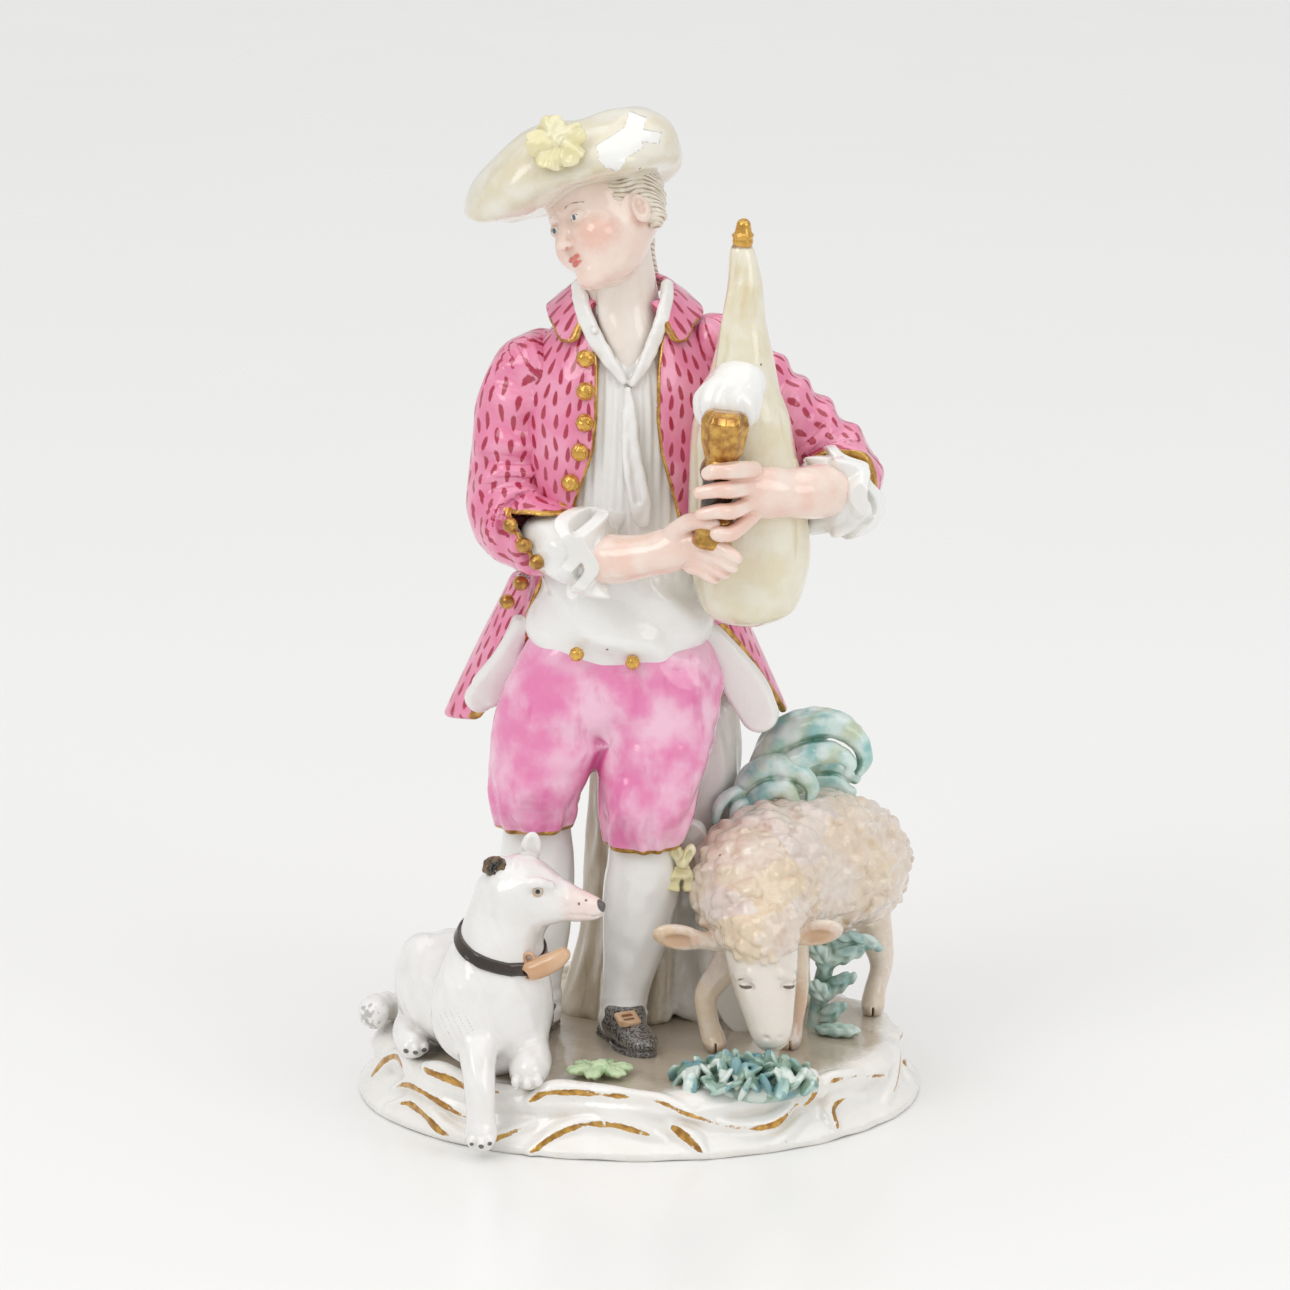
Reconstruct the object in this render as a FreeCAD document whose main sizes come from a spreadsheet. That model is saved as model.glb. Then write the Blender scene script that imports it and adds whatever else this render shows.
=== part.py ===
"""Porcelain figurine of a shepherd with bagpipes, a dog and a sheep on a scrolled base.

The real figure is put together from separately moulded porcelain pieces, luted to each other with slip and
then fired. Each moulded piece is one node here, and every luted joint is cut so that its two faces meet.
Millimetres. +Z up, the viewer stands at -Y, and the origin is the centre of the foot.
"Right" and "left" are the shepherd's, the dog's or the sheep's own.
"""

import FreeCAD, Part
import itertools
import os

import Sketcher
from FreeCAD import Placement, Rotation, Vector

doc = FreeCAD.newDocument("shepherd_figurine")
sheet = doc.addObject("Spreadsheet::Sheet", "Dims")

# ---------------------------------------------------------------- driving dimensions

SIZES = dict(
    # the base: half width and half depth of the foot and of the top, and the heights between them
    foot_half_x=42, foot_half_y=34, waist_half_x=40.4, waist_half_y=32.4,
    top_half_x=37.5, top_half_y=29.5, band_height=2, shoulder_height=6, ground_height=9,
    recess_half_x=38.5, recess_half_y=30.5, recess_depth=1.2, vent_radius=2.5, vent_depth=4,
    neck_radius=5.2, collar_ring=7.0, collar_thick=1.9,
    finial_radius=1.5, button_radius=0.95, neck_length=14.1,
    opening_top_left=3.0, opening_top_right=-8.0, opening_low_left=8.0, opening_low_right=-13.0,
    opening_low_z=68, opening_top_z=119, opening_back=3, opening_front=30,
    skirt_reach=40, skirt_floor=50, skirt_ceiling=76, skirt_split_x=-3, skirt_front_y=-1.5,
    hat_brim=1.5,
    dog_collar_radius=6.6, dog_collar_height=2.2,
    stock_head_radius=3.4, stock_neck_radius=2.3, stock_ring_radius=2.9, stock_bell_radius=2.9,
    stock_bell_height=4.6, stock_waist_height=6.2, stock_ring_start=10.4, stock_ring_end=12,
    stock_head_start=13.4, stock_length=19.2, finial_length=2.6, finial_tip_radius=0.8,
)

# half axes of the egg-shaped pieces along their own x, y and z
EGGS = dict(
    hips=(15.2, 9.6, 9.5),
    head=(7.4, 9.2, 10.2), hair=(8.0, 8.6, 8.4), curl=(2.6, 3.0, 3.4), queue=(1.6, 1.9, 5.2),
    hat=(16.4, 13.0, 11.6), flower_disc=(4.4, 1.5, 3.6),
    bag_socket=(4.4, 4.0, 4.2),
    shoe=(3.3, 7.4, 3.6), buckle=(1.6, 0.7, 1.3), bow=(1.9, 1.4, 3.4), jabot=(2.0, 1.2, 4.2),
    dog_chest=(8.6, 8.0, 10.6), dog_rump=(7.6, 11.5, 8.6), dog_skull=(5.6, 6.2, 5.5),
    dog_tucked=(2.7, 4.4, 2.4), dog_tail=(3.2, 4.0, 2.9), dog_bell=(3.4, 1.6, 1.9),
    dog_ear_up=(1.5, 0.8, 3.0), dog_ear_folded=(1.7, 1.0, 1.7), dog_haunch=(4.4, 6.2, 7.4),
    sheep_ear=(3.6, 1.3, 1.9),
    ground_flower=(5.2, 3.4, 1.3), shrub=(11.2, 5.0, 3.8), fallen_leaf=(3.2, 1.8, 0.9),
    leaf_upper=(5.0, 2.6, 1.6), leaf_lower=(4.0, 2.4, 1.6),
)

# how the turned pieces stand, in degrees: yaw about z, pitch about x, roll about y
TURNS = dict(
    head=(-52, 0, -25), hat=(0, 0, -15), flower_disc=(0, -35, -15),
    shoe_left=(28, 0, 0), shoe_right=(-18, 0, 0), buckle=(0, -35, 0),
    opening=(0, 90, 0), stock=(0, -6, 4),
    dog_collar=(0, -4, 12), dog_bell=(0, 0, -30),
    sheep_ear_right=(0, 0, 8), sheep_ear_left=(0, 0, -8),
    leaf_upper=(0, 0, 12), leaf_lower=(0, 0, -20),
)

# where the eggs sit, and the other named places
POINTS = dict(
    hips=(-3.0, -0.6, 64.5),
    head=(-4.4, 0.0, 131.0), hair=(-1.6, 2.6, 132.2), curl=(2.6, 0.4, 128.6), queue=(2.2, 6.6, 124.5),
    hat=(-8.7, 0.0, 135.6), flower_disc=(-11.6, -10.4, 143.2),
    neck_low=(-2.0, 1.6, 111), neck_high=(-3.4, 0.6, 125), collar=(-2.4, 1.4, 117.0),
    coat_button_1=(-8.8, -8.4, 107.8), coat_button_2=(-8.7, -9.0, 103.2), coat_button_3=(-9.2, -9.3, 98.8),
    coat_button_4=(-9.9, -9.5, 94.2), coat_button_5=(-10.4, -9.4, 89.8),
    breeches_button_1=(-9.0, -9.4, 69.5), breeches_button_2=(-0.9, -10.1, 68.3),
    jabot=(-0.6, -8.4, 91.5),
    bag_socket=(12.6, -14.6, 107.4),
    finial=(14.8, -8.4, 130.2), stock=(10.4, -21.0, 88.0),
    shoe_left=(-1.6, -7.6, 10.6), shoe_right=(-15.6, -3.0, 10.6),
    buckle_left=(-1.9, -8.6, 14.2), buckle_right=(-15.7, -4.2, 14.3), bow=(6.2, -7.6, 36.2),
    dog_chest=(-20.6, -18.8, 19.4), dog_rump=(-27.4, -6.4, 17.4), dog_haunch=(-31.6, -5.0, 17.6),
    dog_skull=(-17.6, -20.0, 36.4), dog_collar=(-19.9, -19.3, 28.2),
    dog_tucked=(-16.4, -24.2, 11.4), dog_tail=(-37.2, 0.2, 11.6), dog_bell=(-13.4, -25.2, 27.2),
    dog_ear_up=(-15.6, -17.6, 41.8), dog_ear_folded=(-20.6, -22.2, 40.6),
    sheep_ear_right=(5.8, -14.4, 27.4), sheep_ear_left=(26.4, -14.4, 28.6),
    ground_flower=(-5.7, -21.8, 10.2), shrub=(15.0, -25.4, 9.6), fallen_leaf=(29.5, -3.0, 9.8),
    leaf_upper=(31.6, 0.6, 22.4), leaf_lower=(28.8, 0.6, 16.6),
)

# tubes and limbs, as stations (x, y, z, radius) along their middle line
LIMBS = dict(
    stocking_right=[(-15.2, -1.6, 43, 4.8), (-15.0, 0.2, 31, 5.0),
                    (-15.0, 0.6, 20, 3.5), (-15.0, 0.4, 12.5, 3.0)],
    stocking_left=[(0.9, -4.8, 42, 5.0), (0.3, -3.8, 31, 5.1),
                   (-1.8, -3.6, 20, 3.5), (-2.4, -4.2, 12.5, 3.0)],
    thigh_right=[(-9.6, -1.0, 64, 8.4), (-13.0, -2.4, 54, 7.6),
                 (-15.0, -2.9, 46, 7.0), (-15.2, -2.2, 39.5, 5.0)],
    thigh_left=[(3.4, -1.4, 64, 8.4), (2.4, -4.0, 54, 7.8), (1.4, -5.8, 46, 7.2), (0.9, -5.4, 38.5, 5.3)],
    sleeve_right=[(-13.6, 1.8, 112.5, 4.2), (-17.6, 1.4, 105, 5.0),
                  (-18.8, 0.6, 94, 5.1), (-18.2, -2.4, 87.2, 5.5),
                  (-12.6, -7.2, 85.0, 5.0)],
    shirt_sleeve_right=[(-13.2, -6.8, 85.2, 4.6), (-9.4, -10.2, 84.6, 5.0), (-7.2, -11.8, 84.4, 3.9)],
    forearm_right=[(-7.4, -11.6, 84.4, 3.3), (-2.6, -14.8, 84.8, 2.9), (2.6, -16.6, 86.2, 2.9),
                   (6.4, -17.8, 87.1, 2.8), (8.6, -18.8, 87.2, 2.2)],
    sleeve_left=[(10.4, 2.2, 112.5, 4.2), (17.0, 3.0, 106, 5.0),
                 (25.0, 2.6, 98.5, 5.2), (29.2, -0.4, 94.4, 5.4),
                 (28.8, -4.0, 93.2, 5.2)],
    forearm_left=[(27.0, -9.6, 93.6, 3.6), (23.6, -13.6, 94.2, 3.2), (19.8, -16.0, 94.6, 3.2),
                  (16.4, -18.0, 94.9, 3.1), (14.4, -19.2, 95.0, 2.4)],
    finger_1=[(16.0, -17.8, 97.0, 1.0), (12.8, -22.0, 98.2, 1.0), (10.2, -23.0, 98.0, 0.8)],
    finger_2=[(15.6, -18.6, 95.0, 0.9), (12.2, -22.6, 95.6, 1.0), (9.4, -23.4, 95.2, 0.8)],
    finger_3=[(15.8, -18.6, 93.0, 0.9), (12.6, -22.6, 93.0, 1.0), (10.0, -23.4, 92.4, 0.8)],
    thumb_right=[(5.6, -17.6, 88.8, 1.2), (8.2, -19.6, 91.4, 1.1), (10.6, -22.2, 91.6, 0.9)],
    finger_4=[(8.0, -18.4, 87.6, 1.0), (10.8, -21.4, 88.0, 1.0), (13.6, -22.8, 87.0, 0.8)],
    finger_5=[(7.6, -18.4, 85.4, 1.0), (10.2, -20.8, 85.4, 1.0), (12.2, -21.6, 84.6, 0.8)],
    dog_neck=[(-20.6, -18.8, 24, 6.6), (-19.6, -19.4, 30, 5.2), (-18.2, -19.8, 36, 4.8)],
    dog_muzzle=[(-15.6, -20.6, 36.0, 4.2), (-11.0, -22.6, 35.8, 3.1), (-5.8, -24.8, 35.2, 1.6)],
    dog_foreleg=[(-23.4, -24.0, 15.6, 2.9), (-23.2, -28.4, 13.4, 2.3),
                 (-22.6, -30.8, 9.2, 1.9), (-22.8, -31.4, 2.6, 2.1)],
    dog_hindleg=[(-33.0, -6.4, 16.5, 2.9), (-33.2, -8.6, 13.0, 2.3), (-32.6, -11.4, 10.8, 2.0)],
    sheep_trunk=[(17.4, -14.8, 29.2, 5.2), (16.2, -10.6, 31.4, 6.8), (16.4, -4.6, 32.6, 8.6),
                 (20.0, 1.0, 32.8, 9.0), (25.0, 6.0, 32.2, 9.2), (30.0, 10.6, 31.0, 8.6),
                 (33.0, 14.0, 30.4, 5.4)],
    sheep_head=[(17.2, -14.0, 31.2, 4.6), (17.8, -16.6, 26.6, 5.0),
                (18.8, -18.8, 19.6, 3.7), (19.6, -20.2, 13.6, 2.7)],
    sheep_foreleg_right=[(9.8, -7.4, 26, 2.6), (9.6, -10.0, 20, 2.0),
                         (11.2, -9.4, 15, 1.7), (14.6, -9.0, 10, 1.6)],
    sheep_foreleg_left=[(22.4, -5.6, 26, 2.6), (23.0, -7.0, 20, 2.1),
                        (22.9, -7.8, 14, 1.6), (22.9, -8.6, 8.4, 1.6)],
    sheep_hindleg_left=[(35.0, 9.4, 25, 3.0), (35.4, 8.6, 19, 2.0),
                        (34.0, 7.6, 13, 1.6), (33.6, 6.8, 8.4, 1.9)],
    sheep_hindleg_right=[(24.6, 13.0, 25, 3.0), (24.2, 12.4, 18, 2.0),
                         (24.4, 11.8, 13, 1.6), (24.6, 11.2, 8.4, 1.9)],
    plant_stalk=[(26.6, 1.6, 8.4, 1.7), (26.8, 1.4, 14, 1.4), (27.8, 1.0, 19, 1.2), (30.0, 0.8, 22.4, 0.9)],
    acanthus_main=[(14.6, 7.4, 46, 3.4), (18.6, 6.6, 53, 3.8), (25.6, 5.6, 54.6, 3.7), (31.0, 4.8, 50.4, 2.7),
                   (32.0, 4.4, 46.6, 1.5)],
    acanthus_middle=[(15.4, 5.6, 43, 2.4), (18.6, 4.8, 47.8, 2.6),
                     (23.4, 4.0, 47.8, 2.2), (26.2, 3.6, 44.0, 1.4)],
    acanthus_front=[(12.2, 5.2, 40, 2.2), (14.4, 3.6, 44, 2.1), (17.4, 2.4, 43.0, 1.5)],
    acanthus_back=[(18.0, 12.0, 40, 2.4), (22.6, 13.6, 45.0, 2.4),
                   (28.6, 13.8, 45.4, 2.0), (33.2, 13.4, 43.2, 1.2)],
)

# lofts through level ellipses (x, y, z, half width, half depth), always wider than deep
LEVELS = dict(
    stump=[(2.6, 10.2, 8.4, 15.2, 9.4), (2.8, 9.6, 14, 13.2, 7.6),
           (3.2, 9.2, 26, 11.8, 6.4), (3.6, 8.8, 40, 11.6, 5.8),
           (4.6, 8.6, 50, 11.6, 5.4), (5.2, 8.4, 58, 9.4, 4.8)],
    shirt=[(-2.8, -1.0, 66.4, 11.4, 8.2), (-2.8, -1.6, 72, 13.2, 9.4), (-2.4, -0.8, 81, 12.2, 8.8),
           (-2.0, 0.2, 92, 11.6, 8.2), (-2.0, 0.6, 103, 12.2, 7.8),
           (-2.0, 1.2, 110, 9.6, 6.6), (-2.0, 1.6, 114.4, 6.2, 5.4)],
    coat=[(-2.0, 1.6, 72, 14.8, 10.2), (-2.0, 1.2, 82, 13.8, 10.2), (-2.0, 1.0, 96, 15.2, 10.6),
          (-2.0, 1.4, 107, 15.6, 10.0), (-2.0, 2.0, 113.5, 11.8, 8.0), (-2.0, 2.4, 117, 7.4, 6.4)],
    skirt=[(-2.0, 2.6, 78, 14.6, 11.4), (-2.6, 5.0, 68, 19.0, 12.0), (-3.6, 7.0, 56, 25.0, 12.4)],
    skirt_inside=[(-2.0, 2.6, 79, 12.6, 9.4), (-2.6, 5.0, 68, 17.2, 10.2), (-3.6, 7.0, 55, 23.6, 10.8)],
    bag=[(16.0, -9.4, 73.8, 3.6, 3.0), (16.0, -9.8, 77.3, 7.2, 6.0), (16.0, -10.0, 83.3, 8.4, 6.8),
         (15.6, -10.0, 89.2, 8.4, 6.8), (14.6, -9.8, 102.5, 7.1, 6.2), (15.0, -9.4, 112.8, 4.1, 3.9),
         (15.1, -9.0, 121.5, 2.9, 2.7), (15.0, -8.6, 126, 2.2, 2.0), (14.8, -8.4, 130.4, 1.6, 1.5)],
    ruffle_right=[(-6.6, -11.4, 78.0, 3.4, 3.0), (-6.8, -11.8, 81.0, 3.9, 3.4), (-7.0, -12.2, 88.0, 3.9, 3.4),
                  (-6.6, -12.4, 91.6, 3.0, 2.6)],
    ruffle_left=[(27.6, -7.2, 86.4, 4.4, 3.2), (28.4, -7.4, 90.0, 5.2, 3.6), (28.2, -7.6, 95.0, 5.2, 3.6),
                 (27.4, -7.4, 98.4, 3.8, 2.8)],
)

row_numbers = itertools.count(1)


def add_cell(alias, value):
    """One driving dimension: a plain number with an alias."""
    row = next(row_numbers)
    sheet.set(f"A{row}", alias)
    sheet.set(f"B{row}", str(value))
    sheet.setAlias(f"B{row}", alias)


def fill_sheet():
    for name, value in SIZES.items():
        add_cell(name, value)
    fields = {"half_x half_y half_z": EGGS, "at_x at_y at_z": POINTS, "yaw pitch roll": TURNS}
    for names, table in fields.items():
        for piece_name, values in table.items():
            for field, value in zip(names.split(), values):
                add_cell(f"{piece_name}_{field}", value)
    for table, fields in ((LIMBS, ("x", "y", "z", "r")), (LEVELS, ("x", "y", "z", "half_x", "half_y"))):
        for name, stations in table.items():
            for index, station in enumerate(stations):
                for field, value in zip(fields, station):
                    add_cell(f"{name}_stn{index}_{field}", value)
    doc.recompute()


def bind(obj, **cells):
    """Binds properties to cells; a double underscore stands for a dot in the property's path."""
    for path, cell in cells.items():
        obj.setExpression(path.replace("__", "."), f"Dims.{cell}")
    return obj


def bind_base(obj, prefix):
    return bind(obj, **{f"Placement__Base__{axis}": f"{prefix}_{axis}" for axis in "xyz"})


def turned(name):
    """The piece's roll about Y, then pitch about X, then yaw about Z."""
    if name not in TURNS:
        return Rotation()
    yaw, pitch, roll = (sheet.get(f"{name}_{angle}") for angle in ("yaw", "pitch", "roll"))
    about_z = Rotation(Vector(0, 0, 1), yaw)
    about_x = Rotation(Vector(1, 0, 0), pitch)
    about_y = Rotation(Vector(0, 1, 0), roll)
    return about_z.multiply(about_x).multiply(about_y)


# ---------------------------------------------------------------- shapes to build with


def egg(name, size=None, turn=None):
    """An ellipsoid: its half axes and its centre are cells."""
    obj = doc.addObject("Part::Ellipsoid", f"{name}_egg")
    obj.Placement = Placement(Vector(), turned(turn or name))
    size = size or name
    bind(obj, Radius1=f"{size}_half_z", Radius2=f"{size}_half_x", Radius3=f"{size}_half_y")
    return bind_base(obj, f"{name}_at")


def loft(name, sections):
    obj = doc.addObject("Part::Loft", f"{name}_loft")
    obj.Sections = sections
    obj.Solid = True
    obj.Ruled = False
    return obj


def limb(name):
    """A smooth tube through circles square to its middle line."""
    stations = [Vector(*station[:3]) for station in LIMBS[name]]
    last = len(stations) - 1
    circles = []
    for index in range(len(stations)):
        heading = stations[min(index + 1, last)] - stations[max(index - 1, 0)]
        circle = doc.addObject("Part::Circle", f"{name}_circle{index}")
        circle.Placement = Placement(Vector(), Rotation(Vector(0, 0, 1), heading))
        bind(circle, Radius=f"{name}_stn{index}_r")
        circles.append(bind_base(circle, f"{name}_stn{index}"))
    return loft(name, circles)


def levels(name):
    """A smooth solid through level ellipses."""
    rings = []
    for index in range(len(LEVELS[name])):
        ring = doc.addObject("Part::Ellipse", f"{name}_ring{index}")
        ring.MajorRadius = LEVELS[name][index][3]
        bind(ring, MajorRadius=f"{name}_stn{index}_half_x", MinorRadius=f"{name}_stn{index}_half_y")
        rings.append(bind_base(ring, f"{name}_stn{index}"))
    return loft(name, rings)


def fused(name, *pieces):
    obj = doc.addObject("Part::MultiFuse", f"{name}_fuse")
    obj.Shapes = list(pieces)
    return obj


def cut(name, base, *tools):
    """base less each tool in turn, so that the face of a luted joint is the neighbour's own face."""
    for index, tool in enumerate(tools):
        obj = doc.addObject("Part::Cut", f"{name}_cut{index}")
        obj.Base = base
        obj.Tool = tool
        base = obj
    return base


def common(name, base, tool):
    obj = doc.addObject("Part::Common", f"{name}_common")
    obj.Base = base
    obj.Tool = tool
    return obj


def box(name, low, high):
    obj = doc.addObject("Part::Box", f"{name}_box")
    obj.Length, obj.Width, obj.Height = (b - a for a, b in zip(low, high))
    obj.Placement = Placement(Vector(*low), Rotation())
    return obj


nodes = {}
whole = {}


def piece(name, shape, *neighbours):
    """The finished piece, its label the node's name: shape less its neighbours' whole, uncut shapes."""
    whole[name] = shape
    obj = cut(name, shape, *(whole[other] for other in neighbours))
    obj.Label = name
    nodes[name] = obj
    return obj


def origin_plane(body, role):
    return next(feature for feature in body.Origin.OriginFeatures if feature.Role == role)


def sketch_on(body, role, name, offset=None):
    sketch = body.newObject("Sketcher::SketchObject", name)
    sketch.AttachmentSupport = (origin_plane(body, role), [""])
    sketch.MapMode = "FlatFace"
    if offset:
        sketch.setExpression("AttachmentOffset.Base.z", f"Dims.{offset}")
    return sketch


# ---------------------------------------------------------------- base and support


def ellipse_sketch(body, name, half_x, half_y, offset=None):
    """A level ellipse about the Z axis, its half axes bound to cells."""
    sketch = sketch_on(body, "XY_Plane", name, offset)
    wide, deep = sheet.get(half_x), sheet.get(half_y)
    sketch.addGeometry(Part.Ellipse(Vector(wide, 0, 0), Vector(0, deep, 0), Vector()), False)
    sketch.exposeInternalGeometry(0)
    constraint = Sketcher.Constraint
    sketch.addConstraint(constraint("Coincident", 0, 3, -1, 1))
    sketch.addConstraint(constraint("PointOnObject", 1, 1, -1))
    for line, cell in ((1, half_x), (2, half_y)):
        index = sketch.addConstraint(constraint("Distance", line, 2 * sheet.get(cell)))
        sketch.setExpression(f"Constraints[{index}]", f"2 * Dims.{cell}")
    return sketch


def build_base():
    """The plinth: a flared oval with a foot ring, a shallow glaze-free recess and the kiln's vent hole."""
    body = doc.addObject("PartDesign::Body", "base_body")
    foot = ellipse_sketch(body, "foot_outline", "foot_half_x", "foot_half_y")
    band = body.newObject("PartDesign::Pad", "foot_band")
    band.Profile = foot
    band.setExpression("Length", "Dims.band_height")
    profile = ellipse_sketch(body, "band_outline", "foot_half_x", "foot_half_y", "band_height")
    shoulder = ellipse_sketch(body, "shoulder_outline", "waist_half_x", "waist_half_y", "shoulder_height")
    top = ellipse_sketch(body, "top_outline", "top_half_x", "top_half_y", "ground_height")
    side = body.newObject("PartDesign::AdditiveLoft", "side")
    side.Profile = profile
    side.Sections = [shoulder, top]
    doc.recompute()
    recess = body.newObject("PartDesign::Pocket", "recess")
    recess.Profile = ellipse_sketch(body, "recess_outline", "recess_half_x", "recess_half_y")
    recess.Reversed = True
    recess.setExpression("Length", "Dims.recess_depth")
    doc.recompute()
    vent_sketch = sketch_on(body, "XY_Plane", "vent_outline")
    vent_sketch.addGeometry(Part.Circle(Vector(), Vector(0, 0, 1), sheet.get("vent_radius")), False)
    vent_sketch.addConstraint(Sketcher.Constraint("Coincident", 0, 3, -1, 1))
    size = vent_sketch.addConstraint(Sketcher.Constraint("Radius", 0, sheet.get("vent_radius")))
    vent_sketch.setExpression(f"Constraints[{size}]", "Dims.vent_radius")
    vent = body.newObject("PartDesign::Pocket", "vent")
    vent.Profile = vent_sketch
    vent.Reversed = True
    vent.setExpression("Length", "Dims.vent_depth")
    doc.recompute()
    piece("base_plinth", body)


def revolved(name, profile):
    """A PartDesign body turned about its own Z axis; profile lists (radius, height) as cells or numbers."""
    body = doc.addObject("PartDesign::Body", f"{name}_body")
    sketch = sketch_on(body, "XZ_Plane", f"{name}_profile")
    values = [tuple(sheet.get(v) if isinstance(v, str) else v for v in corner) for corner in profile]
    corners = [Vector(radius, height, 0) for radius, height in values]
    for start, end in zip(corners, corners[1:] + corners[:1]):
        sketch.addGeometry(Part.LineSegment(start, end), False)
    count = len(corners)
    for index in range(count):
        sketch.addConstraint(Sketcher.Constraint("Coincident", index, 2, (index + 1) % count, 1))
    for index, corner in enumerate(profile):
        for axis, value in zip(("DistanceX", "DistanceY"), corner):
            if isinstance(value, str):
                number = sketch.addConstraint(Sketcher.Constraint(axis, -1, 1, index, 1, sheet.get(value)))
                sketch.setExpression(f"Constraints[{number}]", f"Dims.{value}")
    turn = body.newObject("PartDesign::Revolution", f"{name}_turn")
    turn.Profile = sketch
    turn.ReferenceAxis = (sketch, ["V_Axis"])
    turn.Angle = 360
    body.Placement = Placement(Vector(), turned(name))
    return bind_base(body, f"{name}_at")


# ---------------------------------------------------------------- the pieces


def compound(name, solids):
    obj = doc.addObject("Part::Compound", f"{name}_group")
    obj.Links = solids
    return obj


def domes(name, count, *cloth):
    """Domed buttons seated on the cloth, all one node."""
    solids = []
    for number in range(1, count + 1):
        dome = doc.addObject("Part::Sphere", f"{name}_{number}_ball")
        bind(dome, Radius="button_radius")
        bind_base(dome, f"{name}_{number}_at")
        solids.append(cut(f"{name}_{number}", dome, *cloth))
    return compound(name, solids)


def build_legs():
    """The shirt, breeches over its foot, stockings up to their hems, and buckled shoes on the ground."""
    piece("shirt", levels("shirt"))
    piece("breeches", fused("breeches", egg("hips"), limb("thigh_right"), limb("thigh_left")), "shirt")
    for side in ("left", "right"):
        piece(f"shoe_{side}", egg(f"shoe_{side}", size="shoe"), "base_plinth")
        piece(f"stocking_{side}", limb(f"stocking_{side}"), "breeches", f"shoe_{side}")
    buckles = []
    for side in ("left", "right"):
        plate = egg(f"buckle_{side}", size="buckle", turn="buckle")
        buckles.append(cut(f"buckle_{side}", plate, whole[f"shoe_{side}"], whole[f"stocking_{side}"]))
    piece("shoe_buckles", compound("shoe_buckles", buckles))
    piece("garter_bow", egg("bow"), "stocking_left", "breeches")
    piece("breeches_buttons", domes("breeches_button", 2, whole["breeches"], whole["shirt"]))
    piece("jabot", egg("jabot"), "shirt")


def build_support():
    """The tree stump behind the legs."""
    legs = ("breeches", "stocking_left", "stocking_right", "shoe_left", "shoe_right")
    piece("tree_stump", levels("stump"), "base_plinth", *legs)


def build_acanthus():
    """Acanthus leaves that curl from the stump's left side."""
    neighbours = ["tree_stump", "coat_skirt_left", "sheep_body", "breeches"]
    for name in ("acanthus_main", "acanthus_middle", "acanthus_front", "acanthus_back"):
        piece(name, limb(name), *neighbours)
        neighbours.append(name)


def coat_opening():
    """The wedge of air between the coat's two front edges."""
    wedge = doc.addObject("Part::Wedge", "coat_opening")
    bind(wedge, Xmin="opening_low_right", Xmax="opening_low_left", X2min="opening_top_right",
         X2max="opening_top_left", Ymin="opening_low_z", Ymax="opening_top_z", Zmin="opening_back",
         Z2min="opening_back", Zmax="opening_front", Z2max="opening_front")
    wedge.Placement = Placement(Vector(), turned("opening"))
    return wedge


def build_skirts():
    """The coat's two skirts, swept back from the waist and open in front."""
    shell = cut("skirt_shell", levels("skirt"), levels("skirt_inside"))
    reach, middle, front_edge = (sheet.get(cell) for cell in ("skirt_reach", "skirt_split_x", "skirt_front_y"))
    floor, ceiling = sheet.get("skirt_floor"), sheet.get("skirt_ceiling")
    halves = {"right": ((-reach, front_edge, floor), (middle, reach, ceiling)),
              "left": ((middle, front_edge, floor), (reach, reach, ceiling))}
    for side, (low, high) in halves.items():
        name = f"coat_skirt_{side}"
        panel = common(name, shell, box(name, low, high))
        piece(name, panel, "coat_body", "breeches", "tree_stump")


def build_coat():
    """The open coat: a shell over the shirt, two skirts, a collar, sleeves and gilt buttons."""
    front = coat_opening()
    closed = levels("coat")
    piece("coat_body", closed)
    nodes["coat_body"] = cut("coat_front", closed, whole["shirt"], front, whole["breeches"])
    closed.Label = "coat_closed"
    nodes["coat_body"].Label = "coat_body"
    build_skirts()
    for side in ("right", "left"):
        piece(f"sleeve_{side}", limb(f"sleeve_{side}"), "coat_body")
    piece("coat_buttons", domes("coat_button", 5, whole["coat_body"], whole["shirt"]))
    low, high = Vector(*POINTS["neck_low"]), Vector(*POINTS["neck_high"])
    neck = doc.addObject("Part::Cylinder", "neck_cylinder")
    neck.Placement = Placement(Vector(), Rotation(Vector(0, 0, 1), high - low))
    bind(neck, Radius="neck_radius", Height="neck_length")
    bind_base(neck, "neck_low_at")
    whole["head"] = egg("head")
    piece("neck", neck, "head", "shirt", "coat_body")
    roll = doc.addObject("Part::Torus", "collar_roll")
    bind(roll, Radius1="collar_ring", Radius2="collar_thick")
    open_collar = cut("collar_front", bind_base(roll, "collar_at"), front)
    piece("coat_collar", open_collar, "neck", "coat_body")


def build_head():
    """Head, hair, a queue of hair behind, and the wide soft hat with its flower."""
    piece("head", whole["head"])
    locks = fused("hair", egg("hair", turn="head"), egg("curl"))
    piece("hair", locks, "head", "neck")
    piece("hair_queue", egg("queue"), "hair", "head", "neck", "coat_collar", "coat_body")
    half = sheet.get("hat_half_x")
    upper = box("hat_upper", (-half, -half, -sheet.get("hat_brim")), (half, half, half))
    upper.Placement = Placement(Vector(*POINTS["hat"]), turned("hat")).multiply(upper.Placement)
    piece("hat", common("hat", egg("hat"), upper), "hair", "head")
    piece("hat_flower", egg("flower_disc"), "hat")


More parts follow.
